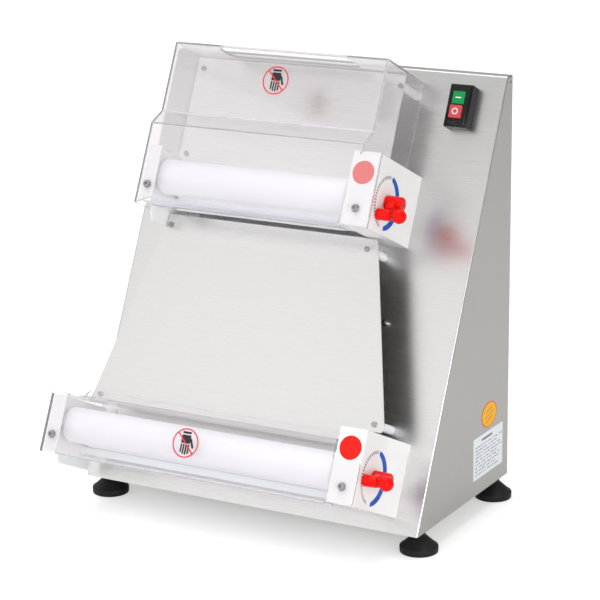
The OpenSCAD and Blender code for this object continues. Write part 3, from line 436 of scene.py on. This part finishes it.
def fold_edges(bm):
    """Edges where two of the cabinet's outer faces meet."""
    low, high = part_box("cabinet_shell")
    front = SLOPE.to_3x3() @ Vector((0, 0, 1))
    planes = [(Vector((1, 0, 0)), high), (Vector((1, 0, 0)), low), (front, low), (Vector((0, 0, 1)), high)]
    found = []
    for edge in bm.edges:
        ends = [v.co for v in edge.verts]
        shared = [p for p in planes if all(on_plane(end, *p) for end in ends)]
        if len(shared) == 2 and edge.calc_length() > 10 * MM:
            found.append(edge)
    return found


shell_bm = cad_copy("cabinet_shell")
folds = fold_edges(shell_bm)
bmesh.ops.bevel(shell_bm, geom=folds, offset=FOLD_R, offset_type="OFFSET", segments=5, profile=0.5,
                affect="EDGES", material=-1, clamp_overlap=True)
shell = settle("folded_cabinet", shell_bm, steel_front, "cabinet", ("cabinet_shell",))
# Faces that look sideways take the darker steel: painted shade on the cabinet's sides.
shell.data.materials.append(steel_painted_shade)
for face in shell.data.polygons:
    if abs(face.normal.x) > 0.7:
        face.material_index = 1
shell.modifiers.new("normals", "WEIGHTED_NORMAL").keep_sharp = True
print("folds rounded:", len(folds))

# The back panel and base plate also take the darker steel, whose lower colour is painted shade.
worked_copy("back_panel", steel_painted_shade, 0.3 * MM)
worked_copy("base_plate", steel_painted_shade, 0.3 * MM)
worked_copy("back_screws", polished, 0.3 * MM)
worked_copy("cable_gland", black_moulding, 0.5 * MM)

# %% [markdown]
# Four rubber feet carry the machine. Each is moulded with a thick rim that grips the bench and a
# cone that narrows to a neck round a threaded stud, so it is turned from one smooth outline.

# %% Rubber feet and studs
def rounded_outline(points, radii, steps=5):
    """Replaces each inner corner of an open outline by a short curve of the given reach."""
    line = [Vector(points[0])]
    for before, here, after, reach in zip(points, points[1:], points[2:], radii):
        here = Vector(here)
        enter = here + (Vector(before) - here).normalized() * reach
        leave = here + (Vector(after) - here).normalized() * reach
        for i in range(steps + 1):
            t = i / steps
            line.append((1 - t) ** 2 * enter + 2 * t * (1 - t) * here + t * t * leave)
    line.append(Vector(points[-1]))
    return line


def spin_outline(bm, outline, centre, axis, out, steps=64):
    """Spins (along, radius) points round an axis through a centre. out is the radius direction."""
    centre, axis, out = Vector(centre), Vector(axis), Vector(out)
    verts = [bm.verts.new(centre + axis * a + out * r) for a, r in outline]
    edges = [bm.edges.new(pair) for pair in zip(verts, verts[1:])]
    bmesh.ops.spin(bm, geom=verts + edges, cent=centre, axis=axis, angle=math.tau, steps=steps,
                   use_merge=True, use_duplicate=False)
    bmesh.ops.remove_doubles(bm, verts=bm.verts, dist=1e-6)
    bmesh.ops.recalc_face_normals(bm, faces=bm.faces)


feet_low, feet_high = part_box("rubber_feet")
foot_r = 26.5 * MM
foot_h = feet_high.z - feet_low.z
foot_corners = [(0, 0), (0, foot_r - 0.4 * MM), (9 * MM, foot_r), (11 * MM, foot_r - 3.5 * MM),
                (foot_h - 7 * MM, 10 * MM), (foot_h - 5 * MM, 8.6 * MM), (foot_h, 8.6 * MM),
                (foot_h, 5.2 * MM), (12 * MM, 5.2 * MM), (12 * MM, 0)]
foot_reach = [1.4 * MM, 1.4 * MM, 1.2 * MM, 1.6 * MM, 0.9 * MM, 0.8 * MM, 0.4 * MM, 0.3 * MM]
foot_line = rounded_outline(foot_corners, foot_reach, 4)
feet_bm = bmesh.new()
for foot_x in (feet_low.x + foot_r, feet_high.x - foot_r):
    for foot_y in (feet_low.y + foot_r, feet_high.y - foot_r):
        spin_outline(feet_bm, foot_line, (foot_x, foot_y, feet_low.z), (0, 0, 1), (1, 0, 0), 72)
settle("moulded_feet", feet_bm, foot_rubber, "cabinet", ("rubber_feet",))
worked_copy("foot_studs", black_moulding, 0.5 * MM)
print("feet:", round(foot_h * 1000, 1), "mm high")

# %% [markdown]
# The chute and the feed plate are flat laser-cut plates on short white standoffs. Laser-cut
# corners are rounded so that nobody is scratched, and so is every corner of these two outlines.

# %% Chute, feed plate and their fixings
def rounded_plate(node, material, corner_r):
    """A copy of a flat plate whose outline corners are rounded."""
    bm = cad_copy(node)
    normal = SLOPE.to_3x3() @ Vector((0, 0, 1))
    corners = []
    for edge in bm.edges:
        run = (edge.verts[1].co - edge.verts[0].co).normalized()
        across = abs(run.dot(normal)) > 0.99 and len(edge.link_faces) == 2
        if across and edge.calc_face_angle() > 0.35:
            corners.append(edge)
    bmesh.ops.bevel(bm, geom=corners, offset=corner_r, offset_type="OFFSET", segments=6, profile=0.5,
                    affect="EDGES", material=-1, clamp_overlap=True)
    piece = settle(node + "_made", bm, material, "cabinet", (node,))
    return edge_bevel(piece, 0.25 * MM, 2)


rounded_plate("chute_plate", steel_front, 5 * MM)
rounded_plate("feed_plate", steel_front, 3 * MM)
worked_copy("standoffs", roller_plastic, 0.4 * MM)
worked_copy("plate_screws", polished, 0.5 * MM, 3)

# %% [markdown]
# The gear boxes and end plates are folded sheet with a pale powder coat. Their corners keep a
# small radius under the paint, so each gets a three-step bevel. The hidden pieces get the same
# care at a smaller size: a chamfer on a gear or a bush is what a machinist leaves.

# %% Boxes, end plates and drive parts
for unit in ("lower", "upper"):
    worked_copy(unit + "_gear_box", paint, 0.7 * MM, 3)
    worked_copy(unit + "_end_plate", paint, 0.5 * MM, 3)
    worked_copy(unit + "_scraper", white_film, 0.4 * MM)
    worked_copy(unit + "_bushes", bronze, 0.2 * MM)
    for part in ("guide_plate", "rear_shaft", "rear_gear", "front_core", "front_gear", "front_axle", "cam"):
        worked_copy(f"{unit}_{part}", machined, 0.15 * MM, 1)
plain_copies(("motor_shaft", "countershaft"), machined, 0.3 * MM)
plain_copies(("motor_cradle", "counter_bracket"), cast_paint, 0.4 * MM)
plain_copies(("motor_belt", "lower_belt", "upper_belt"), belt_rubber, 0.3 * MM)
worked_copy("capacitor", white_film, 0.8 * MM, 3)
worked_copy("motor", cast_paint, 1.5 * MM, 3)

# %% [markdown]
# Each roller is a sleeve of hard white plastic turned to a smooth cylinder, with large rounded
# ends so that the dough isn't cut at the edge. It is spun here from its half outline.

# %% Rollers
ROLLER_END_R = 8 * MM


def roller(node, core):
    """A sleeve with rounded ends on a core tube or a shaft."""
    low, high = slope_box(node)
    core_low, core_high = slope_box(core)
    radius = (high.y - low.y) / 2
    bore = (core_high.z - core_low.z) / 2 if "core" in core else 8 * MM
    length = high.x - low.x
    steps = 10
    outline = [(0, bore)]
    for end, turn_from in ((ROLLER_END_R, math.pi), (length - ROLLER_END_R, math.pi / 2)):
        for i in range(steps + 1):
            angle = turn_from - i * math.pi / 2 / steps
            outline.append((end + ROLLER_END_R * math.cos(angle),
                            radius - ROLLER_END_R + ROLLER_END_R * math.sin(angle)))
    outline += [(length, bore), (0, bore)]
    bm = bmesh.new()
    centre = (low.x, (low.y + high.y) / 2, (low.z + high.z) / 2)
    spin_outline(bm, outline, centre, (1, 0, 0), (0, 1, 0), 96)
    settle(node + "_made", bm, roller_plastic, body_of_node(node), (node,), place=SLOPE)
    return length


for unit in ("lower", "upper"):
    sleeve = roller(unit + "_front_roller", unit + "_front_core")
    roller(unit + "_rear_roller", unit + "_rear_shaft")
    print(unit, "rollers are", round(sleeve * 1000), "mm long")

# %% [markdown]
# The covers are clear polycarbonate. A real cover starts as a flat sheet that is heated along
# its fold lines and bent, so here too each cover is first drawn as one thin surface. The fold
# edges are then rounded, the free corners are rounded, and the sheet is given its thickness. Bends
# and cut edges look milkier than the flat sheet, so they have a finish of their own.

# %% Clear sheet helpers
SHEET = 3 * MM


def panel(bm, places):
    """A face through points given as (x, up, out). Shared corners are merged later."""
    return bm.faces.new([bm.verts.new(place) for place in places])


def strip_of(bm, profile, x0, x1):
    """Panels that follow a profile of (up, out) points between two places across the front."""
    for (v0, n0), (v1, n1) in zip(profile, profile[1:]):
        panel(bm, ((x0, v0, n0), (x1, v0, n0), (x1, v1, n1), (x0, v1, n1)))


def sheet_edges(bm, test):
    """Inner edges of a sheet whose two ends both pass a test."""
    return [e for e in bm.edges if len(e.link_faces) == 2 and all(test(v.co) for v in e.verts)
            and e.calc_face_angle() > 0.05]


def round_folds(bm, edges, reach, segments=5):
    bmesh.ops.bevel(bm, geom=edges, offset=reach, offset_type="OFFSET", segments=segments, profile=0.5,
                    affect="EDGES", material=1, clamp_overlap=True)


def round_corners(bm, places, reach, segments=5):
    """Rounds the free corners of a sheet that lie nearest to the given places."""
    picked = [min(bm.verts, key=lambda v: (v.co - Vector(p)).length) for p in places]
    bmesh.ops.bevel(bm, geom=picked, offset=reach, offset_type="OFFSET", segments=segments, profile=0.5,
                    affect="VERTICES", material=-1, clamp_overlap=True)


def cut_slot(bm, normal, centre, along, width, height, corner_r):
    """Cuts a rounded slot into the flat panel that faces a direction."""
    face = max((f for f in bm.faces if f.normal.dot(normal) > 0.99), key=lambda f: f.calc_area())
    rim = list(face.edges)
    bmesh.ops.delete(bm, geom=[face], context="FACES_ONLY")
    across = normal.cross(along)
    verts = []
    for corner, (sx, sy) in enumerate(((1, 1), (-1, 1), (-1, -1), (1, -1))):
        for i in range(7):
            angle = math.pi / 2 * (corner + i / 6)
            a = sx * (width / 2 - corner_r) + corner_r * math.cos(angle)
            b = sy * (height / 2 - corner_r) + corner_r * math.sin(angle)
            verts.append(bm.verts.new(centre + along * a + across * b))
    hole = [bm.edges.new((verts[i - 1], verts[i])) for i in range(len(verts))]
    bmesh.ops.triangle_fill(bm, edges=rim + hole, use_beauty=True, use_dissolve=False)


def outward(bm):
    """Turns an open sheet's faces so that its largest front panel looks out of the front."""
    bmesh.ops.recalc_face_normals(bm, faces=bm.faces)
    front = max((f for f in bm.faces if abs(f.normal.z) > 0.99), key=lambda f: f.calc_area())
    if front.normal.z < 0:
        bmesh.ops.reverse_faces(bm, faces=bm.faces)


def clear_cover(name, bm, node, edge_r=0.35 * MM):
    """Gives the sheet its thickness towards the inside, and softens its cut edges."""
    bmesh.ops.remove_doubles(bm, verts=bm.verts, dist=0.05 * MM)
    bmesh.ops.dissolve_degenerate(bm, edges=bm.edges, dist=0.05 * MM)
    outward(bm)
    cover = settle(name, bm, clear_sheet, "cabinet", (node,), smooth=40, place=SLOPE)
    cover.data.materials.append(clear_bend)
    thick = cover.modifiers.new("thickness", "SOLIDIFY")
    thick.thickness = SHEET
    thick.offset = -1
    thick.use_even_offset = True
    thick.use_quality_normals = True
    thick.material_offset_rim = 1
    cover.modifiers.new("joins", "WELD").merge_threshold = 0.05 * MM
    edge_bevel(cover, edge_r, 2, 50)
    flat = cover.modifiers.new("normals", "WEIGHTED_NORMAL")
    flat.keep_sharp = True
    flat.weight = 100


# %% [markdown]
# The upper hood has a deep lower half in front of the rollers and a shallower upper half where
# the dough goes in. A slanted band joins the two. Its bottom edge is rolled back under the
# rollers, and a flap at the right reaches over the gear box and carries the screw.

# %% Upper hood
hood_low, hood_high = slope_box("upper_hood")
plate_low, _ = slope_box("upper_end_plate")
box_low, box_high = slope_box("upper_gear_box")
DEEP_HALF = 115 * MM
SLANT_RISE = 22 * MM
STRIP_W = 19.9 * MM
HOOD_LIP = 27 * MM
FEED_W, FEED_D, FEED_R = 208 * MM, 50 * MM, 15 * MM
top_out = 118.5 * MM
step_low = hood_low.y + DEEP_HALF
step_high = step_low + SLANT_RISE
wall_right = box_low.x + 14.5 * MM
flap_low = hood_low.y + 2 * MM
flap_top = box_high.y
roll_x0 = plate_low.x + STRIP_W
roll_x1 = box_low.x - 2 * MM
back_out = hood_low.z
front_out = hood_high.z

hood = bmesh.new()
front_line = [(step_low, front_out), (step_high, top_out), (hood_high.y, top_out), (hood_high.y, back_out)]
strip_of(hood, front_line, hood_low.x, wall_right)
x_lines = [hood_low.x, roll_x0, roll_x1, wall_right, hood_high.x]
for x0, x1 in zip(x_lines, x_lines[1:]):
    bottom = flap_low if x0 >= roll_x1 else hood_low.y
    strip_of(hood, [(bottom, front_out), (flap_top, front_out)], x0, x1)
    if x1 <= wall_right:
        strip_of(hood, [(flap_top, front_out), (step_low, front_out)], x0, x1)
strip_of(hood, [(hood_low.y, front_out - HOOD_LIP), (hood_low.y, front_out)], roll_x0, roll_x1)
for side_x, bottom in ((hood_low.x, hood_low.y), (wall_right, flap_top + 0.3 * MM)):
    side_line = [(bottom, back_out), (bottom, front_out)] + front_line
    panel(hood, [(side_x, up, out) for up, out in side_line])
bmesh.ops.remove_doubles(hood, verts=hood.verts, dist=0.4 * MM)
bmesh.ops.dissolve_limit(hood, angle_limit=0.01, verts=hood.verts, edges=hood.edges)
outward(hood)
round_folds(hood, sheet_edges(hood, lambda p: p.y < hood_low.y + MM and p.z > front_out - MM), 11 * MM, 8)
round_folds(hood, sheet_edges(hood, lambda p: p.z > back_out - MM), 4.5 * MM, 5)
cut_slot(hood, Vector((0, 1, 0)), Vector(((hood_low.x + wall_right) / 2, hood_high.y, 87.5 * MM)),
         Vector((1, 0, 0)), FEED_W, FEED_D, FEED_R)
round_corners(hood, [(hood_high.x, flap_top, front_out), (hood_high.x, flap_low, front_out),
                     (wall_right, flap_top, front_out)], 4 * MM)
clear_cover("bent_hood", hood, "upper_hood")

# %% [markdown]
# The lower cover is a shallow tray in front of the lower rollers. Its bottom edge folds back in a
# nose, its top runs back to an upstand behind the roller, and a tab at the right is screwed to
# the gear box. The second rounding pass takes in the segments of the nose as well, and clamping
# and merging then tighten it: the nose ends at about 3 mm outside radius, the CAD's at 18 mm, and
# the tray's other folds end almost sharp.

# %% Lower cover
low, high = slope_box("lower_cover")
low_plate, _ = slope_box("lower_end_plate")
low_box, _ = slope_box("lower_gear_box")
tray_right = low_box.x - 1.5 * MM
tray_top = high.y - 14 * MM
tray_back = 62 * MM
rise_out = tray_back + SHEET
nose_x0 = low_plate.x + STRIP_W
tab_low = low_box.y - 0.5 * MM
tab_top = tray_top - 26 * MM
slant = 14 * MM

tray = bmesh.new()
for x0, x1 in ((low.x, nose_x0), (nose_x0, tray_right)):
    for v0, v1 in ((low.y, tab_low), (tab_low, tab_top), (tab_top, tray_top)):
        strip_of(tray, [(v0, high.z), (v1, high.z)], x0, x1)
    strip_of(tray, [(tray_top, high.z), (tray_top, rise_out)], x0, x1)
strip_of(tray, [(tab_low, high.z), (tab_top, high.z)], tray_right, high.x)
strip_of(tray, [(low.y, high.z - 30 * MM), (low.y, high.z)], nose_x0, tray_right)
panel(tray, [(low.x, tray_top, rise_out), (nose_x0, tray_top, rise_out), (tray_right, tray_top, rise_out),
             (tray_right, high.y, rise_out), (low.x + slant, high.y, rise_out)])
panel(tray, [(low.x, low.y, tray_back), (low.x, low.y, high.z), (low.x, tab_low, high.z),
             (low.x, tab_top, high.z), (low.x, tray_top, high.z), (low.x, tray_top, rise_out),
             (low.x, tray_top - 20 * MM, tray_back)])
bmesh.ops.remove_doubles(tray, verts=tray.verts, dist=0.4 * MM)
bmesh.ops.dissolve_limit(tray, angle_limit=0.01, verts=tray.verts, edges=tray.edges)
outward(tray)
round_folds(tray, sheet_edges(tray, lambda p: p.y < low.y + MM and p.z > high.z - MM), 17 * MM, 10)
round_folds(tray, sheet_edges(tray, lambda p: True), 4.5 * MM, 5)
round_corners(tray, [(high.x, tab_top, high.z), (high.x, tab_low, high.z)], 4 * MM)
clear_cover("bent_lower_cover", tray, "lower_cover")
worked_copy("cover_screws", polished, 0.5 * MM, 3)

# %% [markdown]
# Each gap lever is one red moulding: a hub on the shaft, a web, and a barrel for the index
# plunger. The plunger's ball is pulled out against its spring before the lever can turn, so the
# ball and the lever are separate pieces.

# %% Levers and plungers
def lathe_piece(bm, outline, reach, centre):
    spin_outline(bm, rounded_outline(outline, reach), centre, (1, 0, 0), (0, 1, 0), 64)


def lever(unit):
    """Hub, web and barrel, each with moulded edges, joined in one piece."""
    low, high = slope_box(unit + "_lever")
    cam_low, cam_high = slope_box(unit + "_cam")
    ball_low, ball_high = slope_box(unit + "_plunger")
    hub = Vector((low.x, (cam_low.y + cam_high.y) / 2, (cam_low.z + cam_high.z) / 2))
    tip = Vector((low.x, (ball_low.y + ball_high.y) / 2, (ball_low.z + ball_high.z) / 2))
    hub_r, hub_l = 11 * MM, high.x - low.x
    barrel_r, barrel_l = 8 * MM, 20 * MM
    bm = bmesh.new()
    lathe_piece(bm, [(0, 6 * MM), (0, hub_r), (hub_l, hub_r - 0.8 * MM), (hub_l, 0), (hub_l - 2.8 * MM, 0),
                     (hub_l - 2.8 * MM, 6 * MM), (0, 6 * MM)],
                [1 * MM, 2.6 * MM, 0.001 * MM, 0.001 * MM, 0.001 * MM], hub)
    lathe_piece(bm, [(0, 2.6 * MM), (0, barrel_r), (barrel_l, barrel_r - 0.4 * MM), (barrel_l, 2.6 * MM),
                     (0, 2.6 * MM)], [1 * MM, 1.6 * MM, 0.001 * MM], tip)
    reach = tip - hub
    aside = Vector((0, -reach.z, reach.y)).normalized()
    web = [hub + aside * 8.6 * MM, hub + reach * 0.72 + aside * 6.6 * MM,
           hub + reach * 0.72 - aside * 6.6 * MM, hub - aside * 8.6 * MM]
    start = Vector((8 * MM, 0, 0))
    sole = bm.faces.new([bm.verts.new(p + start + reach * (0.2 if i in (0, 3) else 0))
                         for i, p in enumerate(web)])
    grown = bmesh.ops.extrude_face_region(bm, geom=[sole])["geom"]
    lifted = [v for v in grown if isinstance(v, bmesh.types.BMVert)]
    bmesh.ops.translate(bm, vec=(10.5 * MM, 0, 0), verts=lifted)
    rim = [e for e in bm.edges if e.verts[0] in lifted or e.verts[1] in lifted]
    bmesh.ops.bevel(bm, geom=rim, offset=1.8 * MM, offset_type="OFFSET", segments=3, profile=0.5,
                    affect="EDGES", material=-1, clamp_overlap=True)
    bmesh.ops.recalc_face_normals(bm, faces=bm.faces)
    return settle(unit + "_moulded_lever", bm, red_moulding, unit + "_lever",
                  (unit + "_lever",), smooth=50, place=SLOPE)


def plunger(unit):
    """A steel pin with a red ball on its end."""
    low, high = slope_box(unit + "_plunger")
    ball_r = 10 * MM
    centre = Vector((high.x - ball_r, (low.y + high.y) / 2, (low.z + high.z) / 2))
    neck = 4.2 * MM
    open_at = math.asin(neck / ball_r)
    steps = 24
    ball = [(-ball_r * math.cos(a), ball_r * math.sin(a))
            for a in (open_at + (math.pi - open_at) * i / steps for i in range(steps + 1))]
    collar = -ball_r - 1.4 * MM
    ball_line = [(collar, 0), (collar, 3.4 * MM), (collar + 0.6 * MM, neck)] + ball
    bm = bmesh.new()
    spin_outline(bm, ball_line, centre, (1, 0, 0), (0, 1, 0), 64)
    piece = settle(unit + "_ball_knob", bm, red_moulding, unit + "_plunger",
                   (unit + "_plunger",), smooth=40, place=SLOPE)
    pin = bmesh.new()
    start = low.x - centre.x
    lathe_piece(pin, [(start, 0), (start, 2.5 * MM), (collar + MM, 2.5 * MM), (collar + MM, 0)],
                [0.5 * MM, 0.1 * MM], centre)
    settle(unit + "_plunger_pin", pin, machined, unit + "_plunger", place=SLOPE)
    return piece


for unit in ("lower", "upper"):
    lever(unit)
    plunger(unit)
print("lever reach:", round((slope_box("lower_lever")[1].z - slope_box("lower_lever")[0].z) * 1000, 1), "mm")

# %% [markdown]
# The push switch is a black moulding with a green start button and a red stop button that stands
# proud, so that it is easy to hit. Each button carries a plain moulded mark in white.

# %% Switch
worked_copy("switch_housing", black_moulding, 0.8 * MM, 3)
worked_copy("start_button", green_moulding, 0.9 * MM, 3)
worked_copy("stop_button", stop_moulding, 1.2 * MM, 3)


def prism(bm, outline, low, high):
    """Extrudes a flat (x, y) outline between two heights."""
    verts = [bm.verts.new((x, y, low)) for x, y in outline]
    grown = bmesh.ops.extrude_face_region(bm, geom=[bm.faces.new(verts)])["geom"]
    lifted = [v for v in grown if isinstance(v, bmesh.types.BMVert)]
    bmesh.ops.translate(bm, vec=(0, 0, high - low), verts=lifted)


def block(bm, x, y, width, height, low, high, tilt=0.0, corner=0.0):
    """A thin printed bar, if wanted with rounded ends, turned by an angle round its middle."""
    outline = []
    for quarter, (sx, sy) in enumerate(((1, 1), (-1, 1), (-1, -1), (1, -1))):
        for i in range(5 if corner else 1):
            angle = math.pi / 2 * (quarter + i / 4)
            a = sx * (width / 2 - corner) + corner * math.cos(angle)
            b = sy * (height / 2 - corner) + corner * math.sin(angle)
            outline.append((x + a * math.cos(tilt) - b * math.sin(tilt),
                            y + a * math.sin(tilt) + b * math.cos(tilt)))
    prism(bm, outline, low, high)


def ring(bm, x, y, inner, outer, low, high, steps=64):
    """A flat printed ring."""
    outline = [(low, inner), (low, outer), (high, outer), (high, inner), (low, inner)]
    spin_outline(bm, outline, (x, y, 0), (0, 0, 1), (1, 0, 0), steps)


def printed(name, bm, material, body, place=SLOPE):
    bmesh.ops.recalc_face_normals(bm, faces=bm.faces)
    return settle(name, bm, material, body, place=place)


INK = 0.12 * MM
for node, mark in (("start_button", "bar"), ("stop_button", "ring")):
    low, high = slope_box(node)
    mid = (low + high) / 2
    mark_bm = bmesh.new()
    if mark == "bar":
        block(mark_bm, mid.x, mid.y, 8.4 * MM, 1.5 * MM, high.z - 0.05 * MM, high.z + INK, corner=0.5 * MM)
    else:
        ring(mark_bm, mid.x, mid.y, 3.2 * MM, 4.4 * MM, high.z - 0.05 * MM, high.z + INK)
    printed(node + "_mark", mark_bm, white_ink, node)

# %% [markdown]
# Printed films finish the machine. Round each lever's dial run short black ticks on the front
# half, each step about 0.23 mm of gap, and a blue crescent, thickest at its middle, lies on the
# rear half.

# %% Dials
TICKS, FIRST_TICK, TICK_STEP = 24, -73, 6.9


def dial_place(unit):
    """Turns (towards the back, up) drawings into places on the gear box's right face."""
    _, box_high = slope_box(unit + "_gear_box")
    cam_low, cam_high = slope_box(unit + "_cam")
    centre = Vector((box_high.x, (cam_low.y + cam_high.y) / 2, (cam_low.z + cam_high.z) / 2))
    axes = Matrix(((0, 0, 1), (0, 1, 0), (-1, 0, 0)))
    return SLOPE @ Matrix.Translation(centre) @ axes.to_4x4()


def polar(radius, degrees):
    """A place on the dial, with its angle measured upwards from straight out of the front."""
    return -radius * math.cos(math.radians(degrees)), radius * math.sin(math.radians(degrees))


for unit in ("lower", "upper"):
    ticks = bmesh.new()
    for i in range(TICKS):
        angle = FIRST_TICK + TICK_STEP * i
        x, y = polar(34.5 * MM, angle)
        block(ticks, x, y, 4.4 * MM, 1.5 * MM, 0, INK, tilt=math.radians(180 - angle))
    printed(unit + "_dial_ticks", ticks, dark_ink, "cabinet", dial_place(unit))
    crescent = bmesh.new()
    steps = 48
    outer = [polar(37 * MM, 96 + 168 * i / steps) for i in range(steps + 1)]
    inner = [polar((31.5 - 6 * math.sin(math.pi * i / steps) ** 0.8) * MM, 96 + 168 * i / steps)
             for i in range(steps, -1, -1)]
    prism(crescent, outer + inner, 0, INK)
    printed(unit + "_dial_crescent", crescent, blue_ink, "cabinet", dial_place(unit))

# %% [markdown]
# The warning signs on the covers are a plain red ring with a slash over a hand. Each is printed
# as thin ink on the outside of the clear sheet: the hand is built from a cuff, a palm, four
# fingers and a thumb, all simple bars.

# %% Signs on the covers
def hand_sign(unit, x, y, out):
    """A hand that points down inside a red ring with a slash."""
    hand = bmesh.new()
    low, high = out - 0.02 * MM, out + INK
    block(hand, x, y + 14.2 * MM, 13 * MM, 3 * MM, low, high, corner=0.4 * MM)
    block(hand, x, y + 5.4 * MM, 14 * MM, 11.4 * MM, low, high, corner=1.2 * MM)
    for i, reach in enumerate((12, 14, 14.6, 13)):
        finger_x = x + (-5.6 + 3.7 * i) * MM
        block(hand, finger_x, y - (1.2 + reach / 2) * MM, 2.3 * MM, reach * MM, low, high, corner=1.1 * MM)
    block(hand, x + 9.6 * MM, y + 0.6 * MM, 3 * MM, 14 * MM, low, high, math.radians(22), 1.4 * MM)
    printed(unit + "_sign_hand", hand, dark_ink, "cabinet")
    sign = bmesh.new()
    ring(sign, x, y, 18.2 * MM, 20 * MM, low, high + 0.04 * MM, 96)
    block(sign, x, y, 37.4 * MM, 1.9 * MM, low, high + 0.04 * MM, math.radians(-45))
    printed(unit + "_sign_ring", sign, red_ink, "cabinet")


LOWER_SIGN_AT = (-32.9 * MM, 62.8 * MM)
UPPER_SIGN_AT = (-22.2 * MM, 573.9 * MM)
hand_sign("lower", *LOWER_SIGN_AT, slope_box("lower_cover")[1].z)
hand_sign("upper", *UPPER_SIGN_AT, top_out)

# %% [markdown]
# The right side carries the data label and an oval inspection sticker. The label is white film
# with rows of small grey dashes in place of any words, and the sticker is yellow with an orange
# rim. A red disc on each gear box marks its front.

# %% Labels
SIDE = Matrix(((0, 0, 1, 0), (1, 0, 0, 0), (0, 1, 0, 0), (0, 0, 0, 1)))
worked_copy("data_label", white_film, 0.05 * MM, 1)
worked_copy("rating_sticker", yellow_film, 0.05 * MM, 1)
worked_copy("lower_badge", white_film, 0.05 * MM, 1)
worked_copy("red_discs", red_film, 0.05 * MM, 1)

label_low, label_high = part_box("data_label")
lines = bmesh.new()
chance = random.Random(7)
face_x = label_high.x
block(lines, label_low.y + 44 * MM, label_high.z - 7.5 * MM, 34 * MM, 3.2 * MM, face_x, face_x + INK)
for row in range(9):
    y = label_low.y + 6 * MM
    z = label_high.z - (14.5 + 5 * row) * MM
    while y < label_high.y - (10 + 14 * (row % 3 == 1)) * MM:
        dash = (3 + 9 * chance.random()) * MM
        block(lines, y + dash / 2, z, dash, 1.1 * MM, face_x, face_x + INK)
        y += dash + (1.6 + 5 * chance.random() ** 2) * MM
printed("label_lines", lines, grey_ink, "cabinet", SIDE)

oval_low, oval_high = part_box("rating_sticker")
oval_mid = (oval_low + oval_high) / 2
oval_w, oval_h = (oval_high.y - oval_low.y) / 2, (oval_high.z - oval_low.z) / 2
rim = bmesh.new()
steps = 64
profile = [(0, 1.0), (0, 0.9), (INK, 0.9), (INK, 1.0), (0, 1.0)]
spin_outline(rim, profile, (0, 0, 0), (0, 0, 1), (1, 0, 0), steps)
bmesh.ops.transform(rim, matrix=Matrix.Diagonal((oval_w, oval_h, 1, 1)), verts=rim.verts)
bmesh.ops.translate(rim, vec=(oval_mid.y, oval_mid.z, oval_high.x), verts=rim.verts)
printed("sticker_rim", rim, orange_ink, "cabinet", SIDE)
scribble = bmesh.new()
for row, width in enumerate((20, 28, 24)):
    block(scribble, oval_mid.y, oval_mid.z + (7 - 7 * row) * MM, width * MM, 1.6 * MM,
          oval_high.x, oval_high.x + INK, math.radians(14), 0.6 * MM)
printed("sticker_marks", scribble, orange_ink, "cabinet", SIDE)
print("label rows printed")

# %% [markdown]
# Every piece takes its size from the CAD model.
